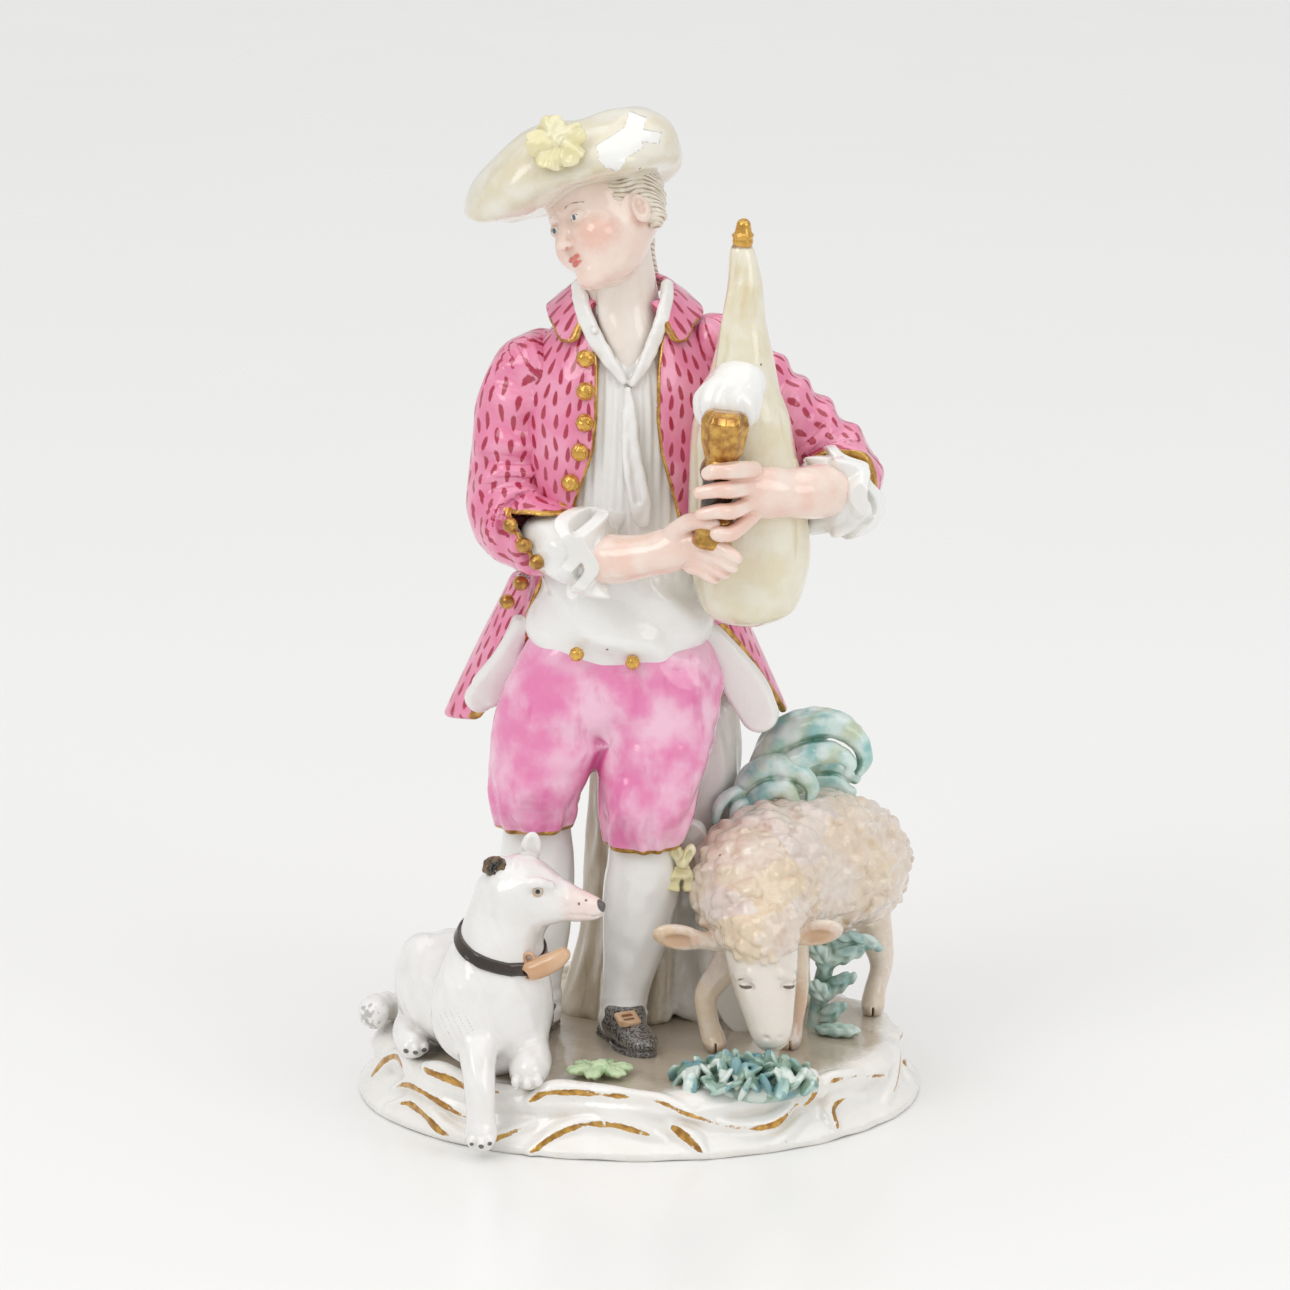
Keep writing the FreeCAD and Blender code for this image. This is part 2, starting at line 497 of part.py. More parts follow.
def build_bagpipes():
    """The bag with its tall neck, the gilt tip, and the gilt stock in its socket."""
    piece("bagpipe_bag", levels("bag"), "coat_body", "sleeve_left", "breeches")
    piece("bag_socket", egg("bag_socket"), "bagpipe_bag")
    profile = [(0, 0), ("stock_bell_radius", 0), ("stock_bell_radius", "stock_bell_height"),
               ("stock_neck_radius", "stock_waist_height"), ("stock_neck_radius", "stock_ring_start"),
               ("stock_ring_radius", "stock_ring_start"), ("stock_ring_radius", "stock_ring_end"),
               ("stock_neck_radius", "stock_ring_end"), ("stock_neck_radius", "stock_head_start"),
               ("stock_head_radius", "stock_head_start"), ("stock_head_radius", "stock_length"),
               (0, "stock_length")]
    piece("pipe_stock", revolved("stock", profile), "bagpipe_bag", "bag_socket")
    tip = doc.addObject("Part::Cone", "finial_cone")
    bind(tip, Radius1="finial_radius", Radius2="finial_tip_radius", Height="finial_length")
    piece("pipe_finial", bind_base(tip, "finial_at"), "bagpipe_bag")


def build_hand(name, forearm, digits, *neighbours):
    """A forearm tapering into the palm, with each digit a solid of its own luted to it."""
    whole[name] = limb(forearm)
    around = [whole[other] for other in neighbours]
    solids = [cut(forearm, whole[name], *around)]
    solids += [cut(digit, limb(digit), whole[name], *around) for digit in digits]
    nodes[name] = compound(name, solids)
    nodes[name].Label = name


def build_hands():
    """Forearms and hands on the stock, with ruffled shirt cuffs at the wrists."""
    build_hand("hand_right", "forearm_right", ("thumb_right", "finger_4", "finger_5"),
               "pipe_stock", "bagpipe_bag", "shirt")
    build_hand("hand_left", "forearm_left", ("finger_1", "finger_2", "finger_3"),
               "pipe_stock", "bagpipe_bag", "bag_socket", "sleeve_left")
    piece("shirt_sleeve_right", limb("shirt_sleeve_right"), "sleeve_right", "hand_right", "coat_body")
    cloth = ("shirt_sleeve_right", "sleeve_right", "coat_body")
    piece("ruffle_right", levels("ruffle_right"), "hand_right", *cloth)
    piece("ruffle_left", levels("ruffle_left"), "hand_left", "sleeve_left", "bagpipe_bag")


def build_dog():
    """A dog lying with its head turned up, one foreleg over the edge of the base."""
    trunk = fused("dog_body", egg("dog_chest"), egg("dog_rump"), limb("dog_neck"))
    piece("dog_body", trunk, "base_plinth", "shoe_right", "stocking_right")
    piece("dog_head", fused("dog_head", egg("dog_skull"), limb("dog_muzzle")), "dog_body")
    for name in ("dog_ear_up", "dog_ear_folded"):
        piece(name, egg(name), "dog_head")
    strap = doc.addObject("Part::Cylinder", "dog_collar_strap")
    strap.Placement = Placement(Vector(), turned("dog_collar"))
    bind(strap, Radius="dog_collar_radius", Height="dog_collar_height")
    piece("dog_collar", bind_base(strap, "dog_collar_at"), "dog_body")
    piece("dog_bell", egg("dog_bell"), "dog_collar", "dog_body", "dog_head")
    piece("dog_foreleg", limb("dog_foreleg"), "dog_body", "base_plinth")
    piece("dog_tucked_foreleg", egg("dog_tucked"), "dog_body", "base_plinth")
    hindleg = fused("dog_hindleg", egg("dog_haunch"), limb("dog_hindleg"))
    piece("dog_hindleg", hindleg, "dog_body", "base_plinth")
    piece("dog_tail", egg("dog_tail"), "dog_body", "dog_hindleg", "base_plinth")


def build_sheep():
    """A grazing sheep, head down, seen from the front."""
    piece("sheep_body", limb("sheep_trunk"), "tree_stump", "stocking_left")
    piece("sheep_head", limb("sheep_head"), "sheep_body", "base_plinth")
    ears = []
    for side in ("right", "left"):
        ear = egg(f"sheep_ear_{side}", size="sheep_ear")
        ears.append(cut(f"sheep_ear_{side}", ear, whole["sheep_head"], whole["sheep_body"]))
    piece("sheep_ears", compound("sheep_ears", ears))
    for name in ("sheep_foreleg_right", "sheep_foreleg_left", "sheep_hindleg_left", "sheep_hindleg_right"):
        piece(name, limb(name), "sheep_body", "sheep_head", "base_plinth", "tree_stump")


def build_plants():
    """Applied leaves and flowers on the ground."""
    stalk = fused("plant", limb("plant_stalk"), egg("leaf_upper"), egg("leaf_lower"))
    piece("plant_stalk", stalk, "base_plinth", "sheep_foreleg_left", "sheep_hindleg_left", "sheep_body")
    piece("fallen_leaf", egg("fallen_leaf"), "base_plinth", "plant_stalk", "sheep_hindleg_left")
    piece("ground_flower", egg("ground_flower"), "base_plinth", "shoe_left")
    piece("shrub", egg("shrub"), "base_plinth", "sheep_head", "sheep_foreleg_left")


def build_figurine():
    fill_sheet()
    build_base()
    build_legs()
    build_support()
    build_coat()
    build_head()
    build_bagpipes()
    build_hands()
    build_dog()
    build_sheep()
    build_plants()
    build_acanthus()
    doc.recompute()


def faults():
    """Every object that failed to build, and every node whose shape is empty or broken."""
    failed = [obj.Name for obj in doc.Objects if {"Invalid", "Error"} & set(obj.State)]
    broken = [name for name, obj in nodes.items()
              if obj.Shape.isNull() or not obj.Shape.isValid() or not obj.Shape.Solids]
    return failed + broken


def export_nodes():
    os.makedirs("parts", exist_ok=True)
    for name, obj in nodes.items():
        obj.Shape.exportStep(f"parts/{name}.step")


build_figurine()
problems = faults()
if problems:
    raise SystemExit("not built: " + ", ".join(problems))
export_nodes()
for node_name, finished in nodes.items():
    shape = finished.Shape
    print(f"{node_name:22s} solids {len(shape.Solids):2d}  volume {shape.Volume:9.1f} mm3")
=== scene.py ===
"""A porcelain shepherd with bagpipes, a dog and a sheep: the fired, glazed and enamelled surface.

Every piece is sculpted as a distance field in millimetres around its CAD node's box, meshed by surface nets
and painted by node materials that read brushwork distances stored on the mesh.
"Right" and "left" are the shepherd's own.
"""

import itertools
import math
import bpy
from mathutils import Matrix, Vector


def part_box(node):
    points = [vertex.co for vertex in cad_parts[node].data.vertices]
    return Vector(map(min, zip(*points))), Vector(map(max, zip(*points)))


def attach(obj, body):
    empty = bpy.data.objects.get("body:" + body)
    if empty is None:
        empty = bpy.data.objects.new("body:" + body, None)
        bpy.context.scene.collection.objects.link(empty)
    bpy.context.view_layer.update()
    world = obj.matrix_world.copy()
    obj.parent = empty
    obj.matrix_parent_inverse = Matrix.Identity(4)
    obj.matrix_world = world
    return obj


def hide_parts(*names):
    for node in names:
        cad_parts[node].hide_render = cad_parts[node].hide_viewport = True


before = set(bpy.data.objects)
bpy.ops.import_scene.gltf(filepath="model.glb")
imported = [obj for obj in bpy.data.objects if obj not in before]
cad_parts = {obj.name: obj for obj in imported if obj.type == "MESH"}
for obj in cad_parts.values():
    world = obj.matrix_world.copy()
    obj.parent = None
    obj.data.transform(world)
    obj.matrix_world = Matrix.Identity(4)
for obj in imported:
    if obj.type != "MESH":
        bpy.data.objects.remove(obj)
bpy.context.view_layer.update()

from concurrent.futures import ThreadPoolExecutor

import bpy
import mathutils
import numpy as np

MM = 0.001
BLOCK = 4          # grid nodes along one side of a block
WALL = 1.5         # grid steps between a piece's closing wall and the end of its grid
OPEN_AIR = 1.3     # millimetres outside the surface where hollows are felt for
WORKERS = 4
BATCH = 250_000    # points handed to a shape at a time
FAR = 50.0         # a brush stroke this many millimetres away isn't there


# ---------------------------------------------------------------- places, from the CAD boxes


def box_mm(node):
    low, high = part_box(node)
    return np.array(low) / MM, np.array(high) / MM


BOXES = {name: box_mm(name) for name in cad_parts}


def mid(node, x=0.0, y=0.0, z=0.0):
    """The centre of a CAD node's box, moved by some millimetres."""
    low, high = BOXES[node]
    return (low + high) / 2 + np.array((x, y, z))


def half(node):
    low, high = BOXES[node]
    return (high - low) / 2


def route(node, *stations):
    """Stations (x, y, z, then radii or half axes), their places counted from the node's centre."""
    centre = mid(node)
    return [(*(centre + station[:3]), *station[3:]) for station in stations]


# ---------------------------------------------------------------- distance fields


def length(v):
    return np.sqrt(np.einsum("...i,...i->...", v, v))


def ramp(x, run):
    """0 where x is below nothing, growing to 1 at that run."""
    return np.clip(x / run, 0, 1)


def ridge(x, wide):
    """1 where x is 0, gone a little beyond that width."""
    return np.exp(-(x / wide) ** 2)


def mirrored(q):
    """The places folded onto the side of positive x."""
    return np.stack([np.abs(q[:, 0]), q[:, 1], q[:, 2]], 1)


def turn(yaw=0.0, pitch=0.0, roll=0.0):
    """Columns are the turned axes: roll about Y, then pitch about X, then yaw about Z."""
    a, b, c = (math.radians(angle) for angle in (yaw, pitch, roll))
    about_z = np.array([[math.cos(a), -math.sin(a), 0], [math.sin(a), math.cos(a), 0], [0, 0, 1]])
    about_x = np.array([[1, 0, 0], [0, math.cos(b), -math.sin(b)], [0, math.sin(b), math.cos(b)]])
    about_y = np.array([[math.cos(c), 0, math.sin(c)], [0, 1, 0], [-math.sin(c), 0, math.cos(c)]])
    return about_z @ about_x @ about_y


def from_ellipse(q, size):
    """Distance from the ellipse or ellipsoid about the origin with those half axes, true close to it."""
    reach = length(q / size)
    slope = length(q / size ** 2)
    return np.where(reach < 1e-6, -size.min(-1), reach * (reach - 1) / np.maximum(slope, 1e-9))


def egg(P, centre, size, axes=None):
    """An ellipsoid; size holds its half axes."""
    q = P - np.asarray(centre)
    if axes is not None:
        q = q @ axes
    return from_ellipse(q, np.asarray(size, float))


def limb(P, start, end, r0, r1):
    """A tapered rod with round ends."""
    start, end = np.asarray(start, float), np.asarray(end, float)
    line = end - start
    t = np.clip((P - start) @ line / max(line @ line, 1e-9), 0, 1)
    return length(P - start - t[:, None] * line) - (r0 + (r1 - r0) * t)


def slab(P, centre, size, axes=None, rounding=0.4):
    """A box with rounded edges; size holds its half sides."""
    q = P - np.asarray(centre)
    if axes is not None:
        q = q @ axes
    over = np.abs(q) - np.asarray(size) + rounding
    return length(np.maximum(over, 0)) + np.minimum(over.max(1), 0) - rounding


def hoop(P, centre, axis, radius, thick):
    """A round wire bent into a ring about the axis."""
    axis = np.asarray(axis, float)
    axis = axis / length(axis)
    q = P - np.asarray(centre)
    up = q @ axis
    out = length(q - up[:, None] * axis) - radius
    return np.sqrt(up ** 2 + out ** 2) - thick


def join(a, b, k=0.6):
    """Both, with a fillet about k across."""
    h = np.clip(0.5 + 0.5 * (b - a) / k, 0, 1)
    return b + (a - b) * h - k * h * (1 - h)


def carve(a, b, k=0.4):
    """a without b."""
    return -join(-a, b, k)


def both(a, b, k=0.4):
    """What a and b share."""
    return -join(-a, -b, k)


def smooth_line(stations, pieces=5):
    """A smooth line through the stations, each a row of numbers."""
    s = np.array(stations, float)
    s = np.vstack([2 * s[0] - s[1], s, 2 * s[-1] - s[-2]])
    t = np.linspace(0, 1, pieces, endpoint=False)[:, None]
    rows = []
    for a, b, c, d in zip(s, s[1:], s[2:], s[3:]):
        rows.append(b + 0.5 * t * (c - a + t * (2 * a - 5 * b + 4 * c - d + t * (3 * b - a - 3 * c + d))))
    return np.vstack([*rows, s[-2]])


def tube(P, stations, pieces=5, k=0.0):
    """A rod through the stations (x, y, z, radius), its pieces blended over k."""
    line = smooth_line(stations, pieces)
    total = np.full(len(P), FAR)
    for a, b in zip(line, line[1:]):
        part = limb(P, a[:3], b[:3], a[3], b[3])
        total = join(total, part, k) if k else np.minimum(total, part)
    return total


def follow(P, stations, pieces=5):
    """For each point: its offset from the line, how far along it is, and the line's direction there."""
    line = smooth_line(stations, pieces)[:, :3]
    runs = length(np.diff(line, axis=0))
    starts = np.concatenate([[0], np.cumsum(runs)])
    best = np.full(len(P), np.inf)
    offset, travelled, heading = np.zeros_like(P), np.zeros(len(P)), np.zeros_like(P)
    for index, (a, b) in enumerate(zip(line, line[1:])):
        step = (b - a) / runs[index]
        t = np.clip((P - a) @ step, 0, runs[index])
        away = P - a - t[:, None] * step
        distance = length(away)
        nearer = distance < best
        best = np.where(nearer, distance, best)
        offset[nearer] = away[nearer]
        travelled[nearer] = starts[index] + t[nearer]
        heading[nearer] = step
    return offset, travelled, heading


def line_distance(P, points, pieces=6):
    """Distance from a painted line through the points."""
    return length(follow(P, points, pieces)[0])


def ring_at(z, rings):
    """Centre and half axes at each height, eased between the rings (x, y, z, half width, half depth)."""
    table = np.array(rings, float)
    order = np.argsort(table[:, 2])
    fine = smooth_line(table[order], 8)
    return [np.interp(z, fine[:, 2], fine[:, column]) for column in (0, 1, 3, 4)]


def drum(P, rings, k=1.2):
    """A smooth solid through level ellipses, its ends rounded over."""
    x, y, wide, deep = ring_at(P[:, 2], rings)
    q = np.stack([P[:, 0] - x, P[:, 1] - y], 1)
    side = from_ellipse(q, np.stack([wide, deep], 1))
    heights = [ring[2] for ring in rings]
    ends = np.maximum(P[:, 2] - max(heights), min(heights) - P[:, 2])
    return both(side, ends, k)


def shrunk(rings, by, lower=0.0):
    """The rings with their half axes smaller by that much, each one moved down."""
    return [(x, y, z - lower, wide - by, deep - by) for x, y, z, wide, deep in rings]


def around(P, rings):
    """Angle about a drum's middle line, from the front, growing towards +X."""
    x, y, _, _ = ring_at(P[:, 2], rings)
    return np.arctan2(P[:, 0] - x, -(P[:, 1] - y))


random = np.random.default_rng(11)
WAVES = random.normal(size=(16, 3))
WAVES /= length(WAVES)[:, None]
PHASES = random.uniform(0, 2 * math.pi, 16)


def swell(P, size, seed=0):
    """Smooth unevenness from about -1 to 1, its hollows about size apart."""
    total = 0.0
    for wave in range(6):
        index = (wave + 3 * seed) % len(WAVES)
        pace = 2 * math.pi / size * (0.8 + 0.13 * wave)
        total = total + np.sin(P @ WAVES[index] * pace + PHASES[index])
    return total / 3


def scatter(cell, seed):
    """Three numbers from 0 to 1 for each whole-numbered cell, always the same ones."""
    mixed = cell @ np.array([73856093, 19349663, 83492791]) + seed * 7919
    rows = []
    for salt in (374761393, 668265263, 2246822519):
        value = (mixed ^ (mixed >> 13)) * salt & 0x7FFFFFFF
        value = (value ^ (value >> 15)) * 1274126177 & 0x7FFFFFFF
        rows.append(((value >> 7) & 0xFFFF) / 65535.0)
    return np.stack(rows, 1)


def pebbles(P, size, seed=0):
    """Distance to the nearest of many scattered points about size apart, and that point's own number."""
    grid = P / size
    base = np.floor(grid).astype(np.int64)
    nearest, tag = np.full(len(P), 9.0), np.zeros(len(P))
    for shift in itertools.product((-1, 0, 1), repeat=3):
        cell = base + np.array(shift)
        place = scatter(cell, seed)
        distance = length(grid - cell - place)
        tag = np.where(distance < nearest, place[:, 0], tag)
        nearest = np.minimum(nearest, distance)
    return nearest * size, tag


# ---------------------------------------------------------------- from distance field to mesh


def only_where(kept):
    """Added to a painted distance, it leaves the stroke only where kept is true."""
    return np.where(kept, 0, FAR)


def cloth_place(across, along):
    """The layer "cloth": where each vertex lies on the cloth, in millimetres."""
    return np.stack([across, along, 0 * across], 1)


def in_batches(shape, points):
    parts = [shape(points[i:i + BATCH]) for i in range(0, len(points), BATCH)]
    return np.concatenate(parts) if parts else np.zeros(0)


def sample(shape, low, high, step):
    """The field on a grid, worked out in full only in the blocks that the surface may cross."""
    blocks = np.ceil((high - low) / step / BLOCK).astype(int)
    corner = np.indices(blocks).reshape(3, -1).T * BLOCK
    rough = in_batches(shape, low + (corner + (BLOCK - 1) / 2) * step)
    field = rough.reshape(blocks)
    for axis in range(3):
        field = field.repeat(BLOCK, axis)
    near = corner[np.abs(rough) < step * BLOCK * 1.05 + 0.5]
    inner = np.indices((BLOCK,) * 3).reshape(3, -1).T
    where = (near[:, None] + inner[None]).reshape(-1, 3)
    field[tuple(where.T)] = in_batches(shape, low + where * step)
    return field


def surface_nets(field, low, step):
    """A quad mesh of the field's zero level: one vertex in every cell that it crosses."""
    inside = field < 0
    cells = tuple(n - 1 for n in field.shape)
    count = np.zeros(cells, np.int8)
    for dx, dy, dz in itertools.product((0, 1), repeat=3):
        count += inside[dx:cells[0] + dx, dy:cells[1] + dy, dz:cells[2] + dz]
    active = (count > 0) & (count < 8)
    places = np.argwhere(active)
    index = np.full(cells, -1, np.int64)
    index[active] = np.arange(len(places))
    total, hits = np.zeros((len(places), 3)), np.zeros(len(places))
    unit = np.eye(3, dtype=int)
    for axis in range(3):
        across = [unit[other] for other in range(3) if other != axis]
        for i, j in itertools.product((0, 1), repeat=2):
            shift = i * across[0] + j * across[1]
            a = field[tuple((places + shift).T)]
            b = field[tuple((places + shift + unit[axis]).T)]
            crossed = (a < 0) != (b < 0)
            t = np.where(crossed, a / np.where(crossed, a - b, 1), 0)
            total += crossed[:, None] * (shift + t[:, None] * unit[axis])
            hits += crossed
    vertices = low + (places + total / hits[:, None]) * step
    return vertices, np.vstack([quads_along(inside, index, axis) for axis in range(3)])


def quads_along(inside, index, axis):
    """One quad round every grid edge along the axis whose two ends lie on different sides."""
    order = (axis, (axis + 1) % 3, (axis + 2) % 3)
    turned, cells = inside.transpose(order), index.transpose(order)
    start, end = turned[:-1, 1:-1, 1:-1], turned[1:, 1:-1, 1:-1]
    i, j, k = np.argwhere(start != end).T
    corners = [cells[i, j, k], cells[i, j + 1, k], cells[i, j + 1, k + 1], cells[i, j, k + 1]]
    quads = np.stack(corners, 1)
    leaving = start[i, j, k]
    quads[~leaving] = quads[~leaving][:, ::-1]
    return quads[(quads >= 0).all(1)]


def slopes(shape, points, reach):
    """The field's unit gradient at the points."""
    total = np.zeros_like(points)
    for corner in ((1, -1, -1), (-1, -1, 1), (-1, 1, -1), (1, 1, 1)):
        corner = np.array(corner, float)
        total += in_batches(shape, points + corner * reach)[:, None] * corner
    return total / np.maximum(length(total), 1e-9)[:, None]


class Work:
    """One sculpted piece: the nodes it stands for, its shape, its material's name and its brushwork.

    marks(V, N) gives the painted distances at the vertices V with normals N, one layer per stroke.
    """

    def __init__(self, name, shape, material, step=0.3, pad=1.5, marks=None, also=()):
        self.name, self.shape, self.material = name, shape, material
        self.nodes, self.step, self.marks = (name, *also), step, marks
        low = np.min([BOXES[node][0] for node in self.nodes], 0)
        high = np.max([BOXES[node][1] for node in self.nodes], 0)
        self.low, self.high = low - pad - 2 * step, high + pad + 2 * step

    def closed(self, P):
        """The shape, ended by a wall where it would leave its grid."""
        margin = WALL * self.step
        wall = np.maximum(self.low + margin - P, P - self.high + margin).max(1)
        return np.maximum(self.shape(P), wall)

    def carve_out(self):
        """Meshes the shape, moves the vertices onto it and works out the layers."""
        field = sample(self.closed, self.low, self.high, self.step)
        self.vertices, self.quads = surface_nets(field, self.low, self.step)
        normals = slopes(self.closed, self.vertices, self.step / 2)
        off = in_batches(self.closed, self.vertices)
        self.vertices -= np.clip(off, -self.step, self.step)[:, None] * normals
        openness = in_batches(self.shape, self.vertices + OPEN_AIR * normals) / OPEN_AIR
        # "cavity" is how enclosed each vertex is; the glazes lay painted shade into the hollows by it
        self.layers = {"cavity": 1 - openness}
        if self.marks:
            self.layers.update(self.marks(self.vertices, normals))

    def place(self):
        mesh = bpy.data.meshes.new(self.name + "_glazed")
        mesh.vertices.add(len(self.vertices))
        mesh.vertices.foreach_set("co", (self.vertices * MM).astype(np.float32).ravel())
        mesh.loops.add(self.quads.size)
        mesh.loops.foreach_set("vertex_index", self.quads.ravel().astype(np.int32))
        mesh.polygons.add(len(self.quads))
        mesh.polygons.foreach_set("loop_start", np.arange(0, self.quads.size, 4, dtype=np.int32))
        mesh.polygons.foreach_set("use_smooth", np.ones(len(self.quads), bool))
        mesh.update(calc_edges=True)
        mesh.validate()
        for layer, values in self.layers.items():
            kind, field = ("FLOAT", "value") if values.ndim == 1 else ("FLOAT_VECTOR", "vector")
            attribute = mesh.attributes.new(layer, kind, "POINT")
            attribute.data.foreach_set(field, values.astype(np.float32).ravel())
        mesh.materials.append(MATERIALS[self.material])
        piece = bpy.data.objects.new(self.name + "_glazed", mesh)
        bpy.context.scene.collection.objects.link(piece)
        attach(piece, "root")
        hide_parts(*self.nodes)


# ---------------------------------------------------------------- head, hair and hat

HEAD = turn(yaw=-52, roll=-30)
HAT = turn(pitch=-22, roll=-15)


def head_place(P):
    """Places as the head has them: x to the shepherd's left, -y out of the face, z up."""
    return (P - mid("head")) @ HEAD


def head(P):
    q = head_place(P)
    side = mirrored(q)
    skull = join(egg(q, (0, 0.8, 2.2), (7.1, 8.3, 7.9)), egg(q, (0, -2.8, 3.2), (6.0, 5.3, 5.6)), 2)
    jaw = join(egg(q, (0, -2.2, -3.6), (5.4, 5.8, 6.0)), egg(q, (0, -6.0, -7.9), (2.1, 1.9, 1.8)), 2)
    cheek = egg(side, (3.0, -5.0, -2.6), (2.7, 2.5, 2.5))
    socket = egg(side, (2.75, -8.5, 0.6), (1.7, 1.15, 1.0))
    brow = limb(side, (0.9, -7.7, 2.0), (3.6, -6.6, 2.0), 0.55, 0.35)
    nose = limb(q, (0, -7.6, 1.0), (0, -9.2, -2.5), 0.55, 0.85)
    nostril = egg(side, (0.75, -8.4, -2.75), (0.55, 0.7, 0.5))
    lids = egg(side, (2.75, -6.75, 0.55), (1.5, 1.3, 1.25))
    opening = egg(side, (2.75, -8.2, 0.45), (1.15, 0.9, 0.5))
    eyeball = egg(side, (2.75, -6.75, 0.5), (1.25, 1.1, 1.1))
    upper_lip = egg(side, (0.6, -7.75, -4.75), (0.95, 0.6, 0.42))
    lower_lip = egg(q, (0, -7.7, -5.5), (1.1, 0.6, 0.45))
    mouth = tube(q, [(-1.5, -8.2, -5.0, 0.1), (0, -8.4, -5.15, 0.13), (1.5, -8.2, -5.0, 0.1)])
    ear = egg(side, (6.9, 0.9, -0.7), (0.9, 1.6, 2.3))
    ear_hollow = egg(side, (7.7, 0.5, -0.5), (0.6, 0.9, 1.4))
    d = join(join(skull, jaw, 3), cheek, 2)
    d = join(carve(d, socket, 1.2), brow, 0.9)
    d = join(join(d, nose, 0.9), nostril, 0.4)
    d = join(d, carve(lids, opening, 0.12), 0.25)
    d = join(d, eyeball, 0.05)
    d = join(d, join(upper_lip, lower_lip, 0.3), 0.3)
    d = carve(d, mouth, 0.25)
    return join(d, carve(ear, ear_hollow, 0.4), 0.4)


def head_marks(V, N):
    q = head_place(V)
    side = mirrored(q)
    front = only_where(q[:, 1] < -3)
    white = egg(side * (1, 0, 1), (2.75, 0, 0.45), (1.05, 1, 0.42)) + front
    iris = length(side[:, ::2] - (2.7, 0.5)) - 0.42 + front
    lash = line_distance(side, [(1.7, -7.6, 0.35), (2.6, -8.1, 0.95), (3.8, -7.4, 0.5)]) - 0.1
    brow = line_distance(side, [(1.2, -8.2, 2.0), (2.8, -7.9, 2.55), (4.6, -6.6, 2.0)]) - 0.09
    lips = np.minimum(egg(side * (1, 0, 1), (0.55, 0, -4.75), (0.95, 1, 0.4)),
                      egg(q * (1, 0, 1), (0, 0, -5.5), (1.15, 1, 0.45))) + front
    cheek = length((side - (4.2, -5.6, -2.8)) / (2.6, 3, 2.2)) - 1
    nostril = length(side - (0.45, -9.0, -3.05)) - 0.25
    return {"white": white, "iris": iris, "line": np.minimum(lash, brow), "lips": np.minimum(lips, nostril),
            "blush": cheek}


def combed(q):
    """The waves that the hair is combed in, and its fine strands."""
    wavy = 3.0 * np.sin(0.75 * q[:, 1] + 0.4 * q[:, 0])
    return wavy, np.sin(9.5 * q[:, 2] + 1.3 * wavy + 2 * q[:, 1])


def hair(P):
    q = head_place(P)
    cap = egg(q, (0.3, 1.4, 2.9), (7.7, 8.0, 7.5))
    face = egg(q, (-1.9, -7.0, -2.4), (7.2, 7.4, 8.2))
    d = carve(cap, face, 0.8)
    nape = q[:, 2] + 3.4 - 0.25 * q[:, 1]
    d = both(d, -nape, 1.0)
    roll = limb(q, (5.7, 3.4, 0.8), (5.9, 3.7, -2.0), 1.9, 1.7)
    d = join(d, roll, 0.6)
    wavy, fine = combed(q)
    strands = np.sin(4.2 * q[:, 2] + 0.8 * wavy) + 0.7 * fine
    d = d - 0.1 * strands - 0.1 * swell(P, 2.4)
    return carve(d, egg(q, (8.0, -0.4, -0.9), (2.6, 1.9, 2.6)), 0.6)


def hair_marks(V, N):
    q = head_place(V)
    strand = 0.4 * swell(V, 4, 2) - combed(q)[1]
    return {"line": 0.55 - strand, "shade": 5.2 - q[:, 2] + 0.8 * swell(V, 3, 1)}


def hair_queue(P):
    tail = tube(P, route("hair_queue", (-0.7, -0.4, 3.8, 0.8), (-0.4, 0.2, 0.6, 0.7), (0.0, 0.2, -3.2, 0.9)))
    bow = egg(P, mid("hair_queue", 0.2, 0.1, -2.8), (1.1, 0.9, 1.2))
    return join(tail, bow, 0.6) - 0.06 * np.sin(5 * P[:, 0] + 2 * P[:, 2])


def neck(P):
    d = limb(P, mid("neck", 0.7, 0.8, -6), mid("neck", -0.6, -0.2, 6.5), 5.9, 5.0)
    d = join(d, egg(P, mid("shirt", 0.9, 0.6, 20.1), (5.4, 4.9, 8.5)), 2.5)
    cords = [(-1.9, -4.9, 2), (-2.0, -5.2, -3), (-0.4, -5.4, -7)]
    return join(d, tube(P, route("neck", *[(*place, 0.7) for place in cords])), 1.8)


def hat(P):
    centre = mid("hat", 0, 0.5, -3.2)
    q = (P - centre) @ HAT
    dome = egg(q, (0.7, 0, 0.4), (14.8, 12.6, 9.2))
    dome = join(dome, egg(q, (8.8, 0.4, 3.0), (7.4, 8.6, 6.6)), 2)
    dome = both(dome, -q[:, 2] - 1.2, 1.8)
    lobe = egg(P, mid("hat", -8.3, -1.8, -1.4), (9.8, 9.2, 4.9), turn(roll=-44))
    lobe = both(lobe, mid("hat")[2] - 6.6 - P[:, 2], 1.4)
    pleat = 0.28 * swell(P, 15, 1) + 0.1 * swell(P, 6, 3)
    return join(dome, lobe, 2.6) + pleat


PATCH = [(-0.6, -0.4, 3.0, 1.7, 25), (1.3, 1.3, 1.3, 1.9, -20), (3.4, 0.5, 1.8, 0.7, -14),
         (-1.7, -2.0, 1.8, 1.1, -35)]      # x, z, half width, half height and slant of each chip


def hat_marks(V, N):
    """A worn, jagged patch of whiter glaze with a grey edge, beside the flower."""
    q = V - mid("hat", 6.6, 0, 5.0)
    patch = np.full(len(V), FAR)
    for x, z, wide, tall, angle in PATCH:
        a = math.radians(angle)
        u = (q[:, 0] - x) * math.cos(a) + (q[:, 2] - z) * math.sin(a)
        v = (q[:, 2] - z) * math.cos(a) - (q[:, 0] - x) * math.sin(a)
        patch = np.minimum(patch, np.maximum(np.abs(u) - wide, np.abs(v) - tall))
    patch = patch + only_where(V[:, 1] < mid("hat")[1] - 1)
    return {"patch": patch, "crack": np.abs(patch) - 0.06}


